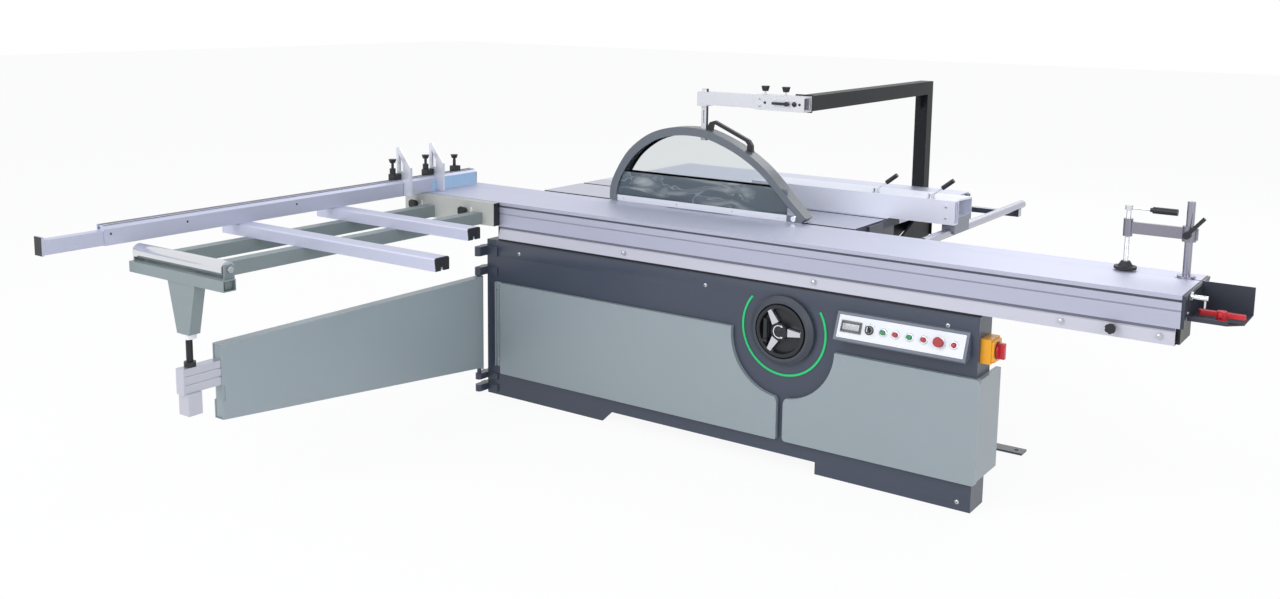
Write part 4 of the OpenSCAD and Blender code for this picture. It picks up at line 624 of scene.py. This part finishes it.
# A thin dark strip on the beam's top, just under the carriage, is painted shade in the groove shadow colour.
bm = bmesh.new()
slab(bm, (BEAM_X0 + 0.0005, BEAM_FRONT - 0.0007, 0.7470), (1.7110, BEAM_FRONT + 0.0002, 0.7555), 0, 0.0003)
piece("carriage_shadow_strip", bm, "cabinet", "black_plastic", groove)
bm = bmesh.new()
for y, z in ((-0.300, 0.850), (-0.120, 0.850), (-0.330, 0.800)):
    dome_screw(bm, facing((NEAR_END_X, y, z), (1, 0, 0)), 0.0055)
for y, z in ((-0.330, 0.845), (-0.200, 0.845), (-0.080, 0.848)):
    dome_screw(bm, facing((FAR_END_X, y, z), (-1, 0, 0)), 0.0055)
piece("carriage_end_screws", bm, "carriage", "steel", zinc, socket_dark)
finish("wing_handle", skin("red_handle", "c9222d", rough=0.32, cloud=0.1, size=1200.0), bevel=0.001)
finish("table_lock", black_mould)

# ---- Hold-down clamp ---------------------------------
# A flat slotted steel bar on a bright round post, with a screw spindle, a black crank grip and a
# ribbed rubber foot. The post stands in a plate on the carriage.
SPINDLE_X, CLAMP_POST_X, CLAMP_Y = 1.488, 1.677, -0.100
PAD_Z = 0.8668
FLANGE_R = 0.0205


def wire(bm, points, radius, mat=0, steps=10):
    """A round bar or pipe along some points."""
    part = bmesh.new()
    points = [Vector(p) for p in points]
    side = None
    rings = []
    for i, p in enumerate(points):
        along = (points[min(i + 1, len(points) - 1)] - points[max(i - 1, 0)]).normalized()
        side = along.orthogonal() if side is None else side - along * side.dot(along)
        side.normalize()
        other = along.cross(side)
        turns = [math.tau * k / steps for k in range(steps)]
        rings.append([part.verts.new(p + (side * math.cos(a) + other * math.sin(a)) * radius) for a in turns])
    for a, b in zip(rings, rings[1:]):
        for k in range(steps):
            part.faces.new((a[k], a[(k + 1) % steps], b[(k + 1) % steps], b[k]))
    part.faces.new(rings[0][::-1])
    part.faces.new(rings[-1])
    join(bm, part, mat, None)


def helix(x, y, z0, radius, pitch, turns):
    """Points up a thread, twelve to a turn."""
    return [(x + radius * math.cos(math.tau * i / 12), y + radius * math.sin(math.tau * i / 12),
             z0 + pitch * i / 12) for i in range(12 * turns)]


nickel = drawn("nickelled_bar", "8d8b97", "x", rough=0.3, contrast=0.18, metal=0.9, fine=90.0)
steel_post = drawn("steel_post", "9d9ca8", "z", rough=0.24, contrast=0.2, metal=1.0, fine=50.0)
finish("clamp_post", steel_post, bevel=0.0005)
finish("clamp_bar", nickel, bevel=0.0006)
finish("clamp_lever", black_mould)
finish("clamp_pad", skin("black_rubber", "22242b", rough=0.62, cloud=0.2, size=1800.0))
threaded = skin("threaded_rod", "dcdee2", rough=0.14, cloud=0.05, speck=0.02, metal=1.0)
tree = threaded.node_tree
where = add(tree, "ShaderNodeTexCoord")
pitch_wave = add(tree, "ShaderNodeTexWave", Scale=125.7, bands_direction="Z")
tree.links.new(where.outputs["Object"], pitch_wave.inputs["Vector"])
relief(tree, pitch_wave.outputs["Fac"], 0.6, 0.0006)
finish("clamp_spindle", chrome,
       (threaded, within(x=(SPINDLE_X - 0.0085, SPINDLE_X + 0.0085), z=(0.88, 1.073))),
       (black_mould, within(x=(1.5535, 1.7))))
bm = bmesh.new()
wire(bm, helix(SPINDLE_X, CLAMP_Y, 0.893, radius=0.0081, pitch=0.0025, turns=22), 0.0007, 0, 6)
piece("spindle_thread", bm, "clamp_spindle", "chrome", chrome)
bm = bmesh.new()
turned(bm, [(0.0345, 0), (0.0359, 0.0006), (0.0359, 0.0014), (0.0345, 0.0020)],
       Matrix.Translation((SPINDLE_X, CLAMP_Y, PAD_Z)), 0, 48)
pad_top = Matrix.Translation((SPINDLE_X, CLAMP_Y, PAD_Z + 0.0032))
for i in range(24):
    rib = pad_top @ Matrix.Rotation(math.tau * i / 24, 4, "Z")
    slab(bm, (0.0205, -0.0009, 0), (0.0330, 0.0009, 0.0026), 0, 0.0004, rib)
piece("pad_rim", bm, "clamp_pad", "black_plastic", black_mould)
bm = bmesh.new()
turned(bm, [(0.0265, 0), (0.0265, 0.003), (0.0245, 0.0038), (0.0150, 0.0038)],
       Matrix.Translation((CLAMP_POST_X, CLAMP_Y, TOP_Z + 0.0005)), 0, 40)
for a in range(3):
    ang = math.tau * (a + 0.25) / 3
    screw_at = (CLAMP_POST_X + FLANGE_R * math.cos(ang), CLAMP_Y + FLANGE_R * math.sin(ang), TOP_Z + 0.004)
    dome_screw(bm, Matrix.Translation(screw_at), 0.0032, 0, 1)
piece("post_flange", bm, "carriage", "chrome", chrome, socket_dark)

# ---- Cast and sheet tables ---------------------------
# The table beside the blade is ground cast iron; the wide one behind it is coated steel sheet on
# folded braces. A bright throat plate lies beside the blade with a dark gap round it.
cast_group, given, out = new_group("ground_cast", [("Color", "Color", (0.5, 0.5, 0.5, 1))],
                               [("Color", "Color"), ("Roughness", "Float"), ("Height", "Float")])
tree = cast_group
where = add(tree, "ShaderNodeTexCoord")
sweep = add(tree, "ShaderNodeTexWave", Scale=38.0, Distortion=1.4, Detail=2.0, wave_type="RINGS",
            rings_direction="Z")
shift = add(tree, "ShaderNodeVectorMath", operation="ADD")
shift.inputs[1].default_value = (1.9, 0.4, 0.0)
tree.links.new(where.outputs["Object"], shift.inputs[0])
tree.links.new(shift.outputs[0], sweep.inputs["Vector"])
pits = add(tree, "ShaderNodeTexNoise", Scale=420.0, Detail=3.0)
tree.links.new(where.outputs["Object"], pits.inputs["Vector"])
mill_marks = calc(tree, "MULTIPLY", calc(tree, "SUBTRACT", sweep.outputs["Fac"], 0.5), 0.035)
pores = calc(tree, "MULTIPLY", calc(tree, "SUBTRACT", pits.outputs["Fac"], 0.5), 0.12)
gain = calc(tree, "ADD", mill_marks, calc(tree, "ADD", pores, 1.0))
tree.links.new(toned(tree, given["Color"], gain), out["Color"])
tree.links.new(calc(tree, "ADD", calc(tree, "MULTIPLY", sweep.outputs["Fac"], 0.06), 0.3), out["Roughness"])
tree.links.new(pits.outputs["Fac"], out["Height"])
ground = from_group("ground_cast_iron", cast_group, {"Color": tone("b9bccb")}, 0.7, 0.25, 0.0001)
THROAT_X0, THROAT_X1, THROAT_Y1 = -0.560, 0.250, 0.0500
THROAT_Z, GAP_Z = TOP_Z + 0.0002, TOP_Z + 0.00008
END_GAP = 0.006
rough_cast = skin("painted_casting", "4a505c", rough=0.6, cloud=0.25, speck=0.2, peel=0.0006, size=420.0)


def not_ground(corners, normal):
    """The sides of the plate and everything under its ground top."""
    return abs(normal.z) < 0.5 or normal.z < 0.5 and max(c.z for c in corners) < 0.8595


finish("main_table", ground, (rough_cast, not_ground), bevel=0.0008)
sheet_top = drawn("sheet_table", "cdd0e0", "x", rough=0.4, contrast=0.05, metal=0.55, fine=40.0)


def under_sheet(corners, normal):
    """The frame below the sheet top."""
    return max(c.z for c in corners) < 0.8225 and min(c.z for c in corners) < 0.8215


finish("extension_table", sheet_top, (charcoal, under_sheet), bevel=0.0008)
bm = bmesh.new()
slab(bm, (THROAT_X0, 0.0108, TOP_Z), (THROAT_X1, THROAT_Y1, THROAT_Z), 0, 0.00008)
slab(bm, (THROAT_X0 - END_GAP, 0.0103, TOP_Z), (THROAT_X0, THROAT_Y1 + 0.0006, GAP_Z), 1, 0)
slab(bm, (THROAT_X1, 0.0103, TOP_Z), (THROAT_X1 + END_GAP, THROAT_Y1 + 0.0006, GAP_Z), 1, 0)
slab(bm, (THROAT_X0 - END_GAP, THROAT_Y1, TOP_Z), (THROAT_X1 + END_GAP, THROAT_Y1 + 0.0012, GAP_Z), 1, 0)
for x in (-0.535, -0.34, 0.04, 0.225):
    turned(bm, [(0, 0.0003), (0.0045, 0.0003), (0.0050, 0)], Matrix.Translation((x, 0.034, THROAT_Z)), 2, 20)
piece("throat_plate", bm, "cabinet", "aluminium", alu_x, groove, zinc)
bm = bmesh.new()
for x in (-1.02, -0.66, -0.30, 0.06, 0.40):
    for y in (0.452, 1.190):
        turned(bm, [(0, 0.0003), (0.0050, 0.0003), (0.0060, 0)], Matrix.Translation((x, y, TOP_Z)), 0, 20)
slab(bm, (-1.0745, 0.4290, TOP_Z), (0.4625, 0.4310, 0.86012), 1, 0)
piece("table_screws", bm, "cabinet", "steel", zinc, groove)

# ---- Rip fence and its rail --------------------------
# A tall anodised fence plate is locked by two levers to a cast head that slides on a ground round bar.
# The bar stands off the table on charcoal brackets.
RIP_LEVER_X = (0.3925, 0.6295)
RIP_FACE_Y = 0.323
rip_alu = drawn("rip_anodised", "e6e9f6", "x", contrast=0.07, metal=0.3)
cast_head = skin("cast_head", "8a8f98", rough=0.45, cloud=0.2, speck=0.15, metal=0.4, size=500.0)
finish("rip_fence", rip_alu, (cast_head, within(x=(0.66, 0.74), y=(0.36, 0.53), z=(0.80, 0.8825))),
       bevel=0.0006)
for name, base_x in zip(("rip_lever_1", "rip_lever_2"), RIP_LEVER_X):
    finish(name, chrome, (black_mould, within(x=(base_x + 0.036, base_x + 0.1))))
ground_bar = drawn("ground_bar", "b2b4c0", "y", rough=0.26, contrast=0.12, metal=0.85, fine=80.0)
finish("rip_rail", ground_bar, (charcoal, within(x=(0.46, 0.7155), y=(0.0, 1.2), z=(0.775, 0.8135))),
       (charcoal, within(x=(0.46, 0.676))))
bm = bmesh.new()
for x in (-0.150, 0.700):
    for z in (0.885, 0.930):
        dome_screw(bm, facing((x, RIP_FACE_Y, z), (0, -1, 0)), 0.004)
for x in RIP_LEVER_X:
    boss = Matrix.Translation((x, RIP_FACE_Y + 0.022, 0.9553))
    turned(bm, [(0.0165, 0), (0.0165, 0.0012), (0.0135, 0.0015)], boss, 0, 28)
piece("rip_fence_bolts", bm, "rip_fence", "steel", zinc, socket_dark)

# ---- Guard post and hanger ---------------------------
# A black square steel tube rises behind the tables and reaches forward over the blade.
# The silver sleeve on its end holds a sliding tube, set by two star knobs and a ratchet lever.
post_black = skin("black_satin_coat", "14181c", rough=0.5, cloud=0.2, fold=0.8)
post_black.node_tree.nodes["Principled BSDF"].inputs["Specular IOR Level"].default_value = 0.25
finish("guard_post", post_black, bevel=0.0015)
SLEEVE_Y, SLEEVE_Z = -0.030, 1.326
sleeve_alu = drawn("sleeve_aluminium", "d2d3d9", "x", rough=0.36, contrast=0.08, metal=0.6)
finish("hanger_sleeve", sleeve_alu, (black_mould, within(z=(1.3695, 1.4))),
       (chrome, within(z=(1.3562, 1.3720))), bevel=0.0006)
finish("hanger_tube", sleeve_alu, bevel=0.001)
finish("hanger_lever", black_mould)
bm = bmesh.new()
for x, r in ((0.205, 0.0105), (0.228, 0.0052), (0.075, 0.0052)):
    turned(bm, [(0, 0), (r, 0), (r * 0.9, 0.003), (r * 0.6, 0.0045), (0, 0.0045)],
           facing((x, SLEEVE_Y, SLEEVE_Z), (0, -1, 0)), 1, 24)
for z in (SLEEVE_Z + 0.014, SLEEVE_Z - 0.014):
    dome_screw(bm, facing((0.052, SLEEVE_Y, z), (0, -1, 0)), 0.0045, 0, 1)
piece("sleeve_bolts", bm, "cabinet", "steel", zinc, black_mould)

# ---- Overhead guard ----------------------------------
# A grey sheet-steel hood with a clear front window, a dark film inside its lower half, a white sill
# strip, a black pull handle and a small steel roller at the near end.
SILL_X0, SILL_X1 = -0.6331, 0.1879
SILL_Y0, SILL_Y1 = -0.0352, -0.0339
hood_grey = skin("hood_coat", "646b72", rough=0.34, cloud=0.12, fold=0.8)
strip_white = skin("sill_white", "d5d8e0", rough=0.4, cloud=0.05)


def on_handle(corners, normal):
    """The pull handle over the hood's rim."""
    on_bar = all(abs(c.y) < 0.0082 and -0.210 < c.x < 0.012 for c in corners)
    return on_bar and any(abs(abs(c.y) - 0.008) < 0.0002 for c in corners)


finish("guard_hood", hood_grey,
       (strip_white, within(x=(-0.6335, 0.1885), y=(-0.0335, -0.0295), z=(0.862, 0.8902))),
       (sleeve_alu, within(x=(-0.2335, -0.2085), y=(-0.0082, 0.0082), z=(1.15, 1.37))),
       (black_mould, on_handle), (chrome, within(x=(0.208, 0.2325), y=(-0.0395, -0.0299), z=(0.866, 0.890))),
       bevel=0.0008)
clear = bpy.data.materials.new("clear_sheet")
clear.use_nodes = True
tree = clear.node_tree
shell = tree.nodes["Principled BSDF"]
shell.inputs["Base Color"].default_value = (0.86, 0.88, 0.885, 1)
shell.inputs["Transmission Weight"].default_value = 1.0
shell.inputs["IOR"].default_value = 1.12
scuff = add(tree, "ShaderNodeTexNoise", Scale=30.0, Detail=5.0)
span = add(tree, "ShaderNodeMapRange")
tree.links.new(scuff.outputs["Fac"], span.inputs["Value"])
span.inputs["To Min"].default_value = 0.02
span.inputs["To Max"].default_value = 0.09
tree.links.new(span.outputs[0], shell.inputs["Roughness"])
finish("guard_window", clear)
film = bpy.data.materials.new("dark_film")
film.use_nodes = True
tree = film.node_tree
shell = tree.nodes["Principled BSDF"]
where = add(tree, "ShaderNodeTexCoord")
crease = add(tree, "ShaderNodeTexNoise", Scale=2.6, Detail=2.0, Distortion=0.8)
flat = add(tree, "ShaderNodeMapping")
flat.inputs["Scale"].default_value = (1.6, 1.0, 6.0)
tree.links.new(where.outputs["Object"], flat.inputs["Vector"])
tree.links.new(flat.outputs[0], crease.inputs["Vector"])
ramp = add(tree, "ShaderNodeValToRGB")
for at, code in ((0.0, "56606a"), (0.490, "5e6872"), (0.5, "98a1a9"), (0.510, "606a74"), (1.0, "687380")):
    stop = ramp.color_ramp.elements.new(at)
    stop.color = tone(code)
ramp.color_ramp.elements.remove(ramp.color_ramp.elements[0])
ramp.color_ramp.elements.remove(ramp.color_ramp.elements[-1])
tree.links.new(crease.outputs["Fac"], ramp.inputs[0])
tree.links.new(ramp.outputs[0], shell.inputs["Base Color"])
shell.inputs["Roughness"].default_value = 0.18
relief(tree, crease.outputs["Fac"], 0.5, 0.002)
bm = bmesh.new()
slab(bm, (-0.6300, -0.0262, 0.8880), (0.1860, -0.0252, 0.9920), 0, 0.0002)
piece("inner_film", bm, "hood", "guard_grey", film)
bm = bmesh.new()
slab(bm, (SILL_X0, SILL_Y0, 0.8640), (SILL_X1, SILL_Y1, 0.8900), 0, 0.0004)
for x in (-0.60, -0.33, -0.06, 0.155):
    turned(bm, [(0.0036, 0), (0.0032, 0.0008), (0, 0.0010)], facing((x, SILL_Y0, 0.877), (0, -1, 0)), 1, 20)
piece("sill_strip", bm, "hood", "white_plate", strip_white, zinc)

# ---- Outfeed box and outrigger frame -----------------
# The beige steel box bolts to the carriage's side and carries the grey-green welded frame.
# Two black knobs lock the frame; each has a small dotted scale plate beside it.
LEG_X, LEG_Y = -1.1115, -1.837
KNOB_X, BOX_Y = (-1.460, -1.166), -0.4126
beige = skin("beige_coat", "b3b5b0", rough=0.4, cloud=0.08, fold=0.5)
frame_green = skin("frame_coat", "818d8e", rough=0.38, cloud=0.1, fold=0.7)
finish("out_box", beige, (black_mould, within(x=(-1.0162, -1.0))), bevel=0.001)
finish("out_knob_1", black_mould)
finish("out_knob_2", black_mould)
bm = bmesh.new()
for x in KNOB_X:
    slab(bm, (x + 0.027, BOX_Y, 0.798), (x + 0.037, BOX_Y + 0.0007, 0.830), 0, 0.0002)
    for i in range(4):
        turned(bm, [(0.0018, 0), (0.0018, 0.0003), (0, 0.0003)],
               facing((x + 0.032, BOX_Y, 0.8025 + i * 0.0077), (0, -1, 0)), 1, 12)
piece("knob_scales", bm, "carriage", "white_plate", print_white, digit_dark)


def leg_part(r, z0, z1):
    """A rule's test for the leg's round parts."""
    return lambda corners, normal: all(
        math.hypot(c.x - LEG_X, c.y - LEG_Y) < r and z0 <= c.z <= z1 for c in corners)


finish("out_frame", frame_green, (print_white, leg_part(0.0264, 0.5685, 0.5871)),
       (black_mould, leg_part(0.0204, 0.47, 0.5871)),
       (zinc, within(x=(-1.4025, -1.3955), y=(-1.846, -1.80), z=(0.765, 0.85))),
       (zinc, within(x=(-0.8925, -0.879), y=(-1.846, -1.80), z=(0.765, 0.85))), bevel=0.001)
finish("roller", chrome)
bm = bmesh.new()
for x, way in ((-1.4065, -1), (-0.8925, 1)):
    turned(bm, [(0.0120, 0), (0.0120, 0.004), (0.0105, 0.0055), (0, 0.0055)],
           facing((x, -1.824, 0.833), (way, 0, 0)), 0, 6)
piece("roller_nuts", bm, "carriage", "steel", zinc)
bm = bmesh.new()
wire(bm, helix(LEG_X, LEG_Y, 0.4895, radius=0.0111, pitch=0.003, turns=26), 0.0009, 0, 6)
piece("leg_thread", bm, "carriage", "black_plastic", black_mould)

# ---- Support rails -----------------------------------
# Two anodised extrusions lie across the frame and carry the panel; their ends have black caps.
# They bolt down from below.
finish("support_rails", alu_x, (black_mould, within(x=(-0.6921, -0.68), y=(-0.95, -0.84))),
       (black_mould, within(x=(-0.4101, -0.40), y=(-1.4, -1.3))), bevel=0.0008)

# ---- Crosscut fence ----------------------------------
# A long anodised fence with a rule along its top, a telescoping tail, two stops with see-through
# flip flags, and blue protective film still on the end by the tables.
FENCE_TOP = 0.9323
FENCE_FACE = -1.432
RULE_X0, RULE_X1 = -1.4495, -1.4420
alu_y = drawn("anodised_y", "c2c5d8", "y")
finish("crosscut_fence", alu_y, (black_mould, within(z=(0.9320, 1.01))),
       (black_mould, within(y=(-0.0541, -0.04))), bevel=0.0006)
finish("fence_tail", alu_y, (black_mould, within(y=(-2.16, -2.1499))), bevel=0.0006)
for name in ("stop_block_1", "stop_block_2"):
    finish(name, black_mould, (zinc, within(z=(0.915, 0.9320))), bevel=0.0005)
flag_alu = drawn("flag_aluminium", "dadde6", "z", rough=0.4, contrast=0.06, metal=0.5)
finish("stop_flag_1", flag_alu, bevel=0.0006)
finish("stop_flag_2", flag_alu, bevel=0.0006)
for name, body, y in (("flag_pane_1", "flag_1", -0.334), ("flag_pane_2", "flag_2", -0.534)):
    bm = bmesh.new()
    at = facing((-1.459, y + 0.0225, FENCE_TOP + 0.015), (0, -1, 0))
    prism(bm, [(0.002, 0.022), (0.028, 0.018), (0.028, 0.052), (0.002, 0.096)], 0, 0.002, at)
    piece(name, bm, body, "clear_window", clear)
rule_steel = skin("rule_face", "d9dbe2", rough=0.35, cloud=0.05)
bm = bmesh.new()
slab(bm, (RULE_X0, -1.925, FENCE_TOP - 0.0001), (RULE_X1, -0.060, FENCE_TOP + 0.00015), 0, 0)
for i in range(186):
    y = -0.062 - i * 0.010
    mark_x0 = RULE_X0 if i % 10 == 0 else RULE_X0 + 0.0025
    slab(bm, (mark_x0, y - 0.0004, FENCE_TOP), (RULE_X1 - 0.0002, y + 0.0004, FENCE_TOP + 0.0003), 1, 0)
piece("fence_rule", bm, "crosscut_fence", "aluminium", rule_steel, digit_dark)
bm = bmesh.new()
slab(bm, (FENCE_FACE, -0.330, 0.8650), (FENCE_FACE + 0.0004, -0.0545, 0.9180), 0, 0)
slab(bm, (FENCE_FACE + 0.0004, -0.345, 0.8640), (FENCE_FACE + 0.0008, -0.325, 0.9000), 0, 0)
blue_film = skin("blue_film", "a9cbe8", rough=0.22, cloud=0.2, speck=0.1, peel=0.0006, size=60.0)
piece("blue_film", bm, "crosscut_fence", "aluminium", blue_film)
bm = bmesh.new()
for y in (-1.905, -1.60, -1.10):
    turned(bm, [(0.0042, 0), (0.0042, 0.0004), (0, 0.0004)], facing((FENCE_FACE, y, 0.900), (1, 0, 0)), 0, 20)
piece("fence_holes", bm, "crosscut_fence", "dark_paint", socket_dark)

# ---- Swing arm ---------------------------------------
# A folded pale grey sheet arm hinged on the cabinet's left end, with a bright telescoping inner arm
# whose end bracket takes the frame's leg.
arm_coat = skin("arm_coat", "9ca8ac", rough=0.36, cloud=0.07, speck=0.03, fold=0.5)
finish("arm_outer", arm_coat, bevel=0.0015)
finish("arm_inner", drawn("inner_arm", "c3c5cf", "y", rough=0.34, contrast=0.1, metal=0.6), bevel=0.001)

# ---- Saw unit ----------------------------------------
# Grey painted castings under the table tilt on two trunnions and carry the motor, the arbor and
# both blades. The blades are bare ground steel with carbide tips.
unit_grey = skin("unit_coat", "5a616c", rough=0.5, cloud=0.2, speck=0.12, peel=0.0004, size=420.0, fold=0.6)
blade_steel = skin("blade_steel", "b9bcc2", rough=0.24, cloud=0.12, speck=0.15, metal=1.0, size=300.0)
for name in ("trunnions", "saw_frame"):
    finish(name, unit_grey)
finish("arbor_block", unit_grey, (blade_steel, within(x=(-0.46, 0.0), y=(-0.002, 0.0031), z=(0.6, 0.95))))
finish("main_blade", blade_steel)
finish("score_blade", blade_steel)
rubber_belt = skin("belt_rubber", "1c1d20", rough=0.75, cloud=0.2)
finish("saw_motor", unit_grey, (rubber_belt, within(y=(0.16, 0.1915))))
MOTOR_END = (-0.2065, 0.206, 0.504)
bm = bmesh.new()
for i in range(36):
    fin = Matrix.Translation(MOTOR_END) @ Matrix.Rotation(math.tau * i / 36, 4, "Y")
    slab(bm, (0.0872, 0, -0.0012), (0.0925, 0.150, 0.0012), 0, 0.0004, fin)
piece("motor_fins", bm, "saw_carrier", "unit_paint", unit_grey)

# ---- Back of the cabinet -----------------------------
# The rear box has a screwed service cover, a louvred panel and a ring of screws round the dust outlet.
# All are folded from the same charcoal sheet.
BACK_Y = 0.400
SERVICE, LOUVRED = (0.330, 0.730, 0.130, 0.600), (-0.480, -0.060, 0.200, 0.560)
OUTLET_X, OUTLET_Z = -0.6675, 0.380


def back_cover(x0, x1, z0, z1, thick):
    """A flat cover on the rear box."""
    slab(bm, (x0, BACK_Y, z0), (x1, BACK_Y + thick, z1), 0, 0.0008)


bm = bmesh.new()
back_cover(*SERVICE, 0.0025)
slab(bm, (0.500, BACK_Y + 0.002, 0.560), (0.560, BACK_Y + 0.008, 0.575), 1, 0.002)
back_cover(*LOUVRED, 0.002)
for i in range(9):
    louvre = Matrix.Translation((-0.270, BACK_Y + 0.002, 0.250 + i * 0.030))
    blade = louvre @ Matrix.Rotation(math.radians(-24), 4, "X")
    slab(bm, (-0.160, -0.001, -0.009), (0.160, 0.0035, 0.009), 0, 0.001, blade)
for x0, x1, z0, z1 in (SERVICE, LOUVRED):
    for x in (x0 + 0.014, x1 - 0.014):
        for z in (z0 + 0.014, z1 - 0.014):
            dome_screw(bm, facing((x, BACK_Y + 0.002, z), (0, 1, 0)), 0.005, 2, 3)
for i in range(6):
    a = math.tau * i / 6
    at = (OUTLET_X + 0.074 * math.cos(a), BACK_Y + 0.006, OUTLET_Z + 0.074 * math.sin(a))
    dome_screw(bm, facing(at, (0, 1, 0)), 0.0045, 2, 3)
piece("back_covers", bm, "cabinet", "charcoal_paint", charcoal, black_mould, zinc, socket_dark)
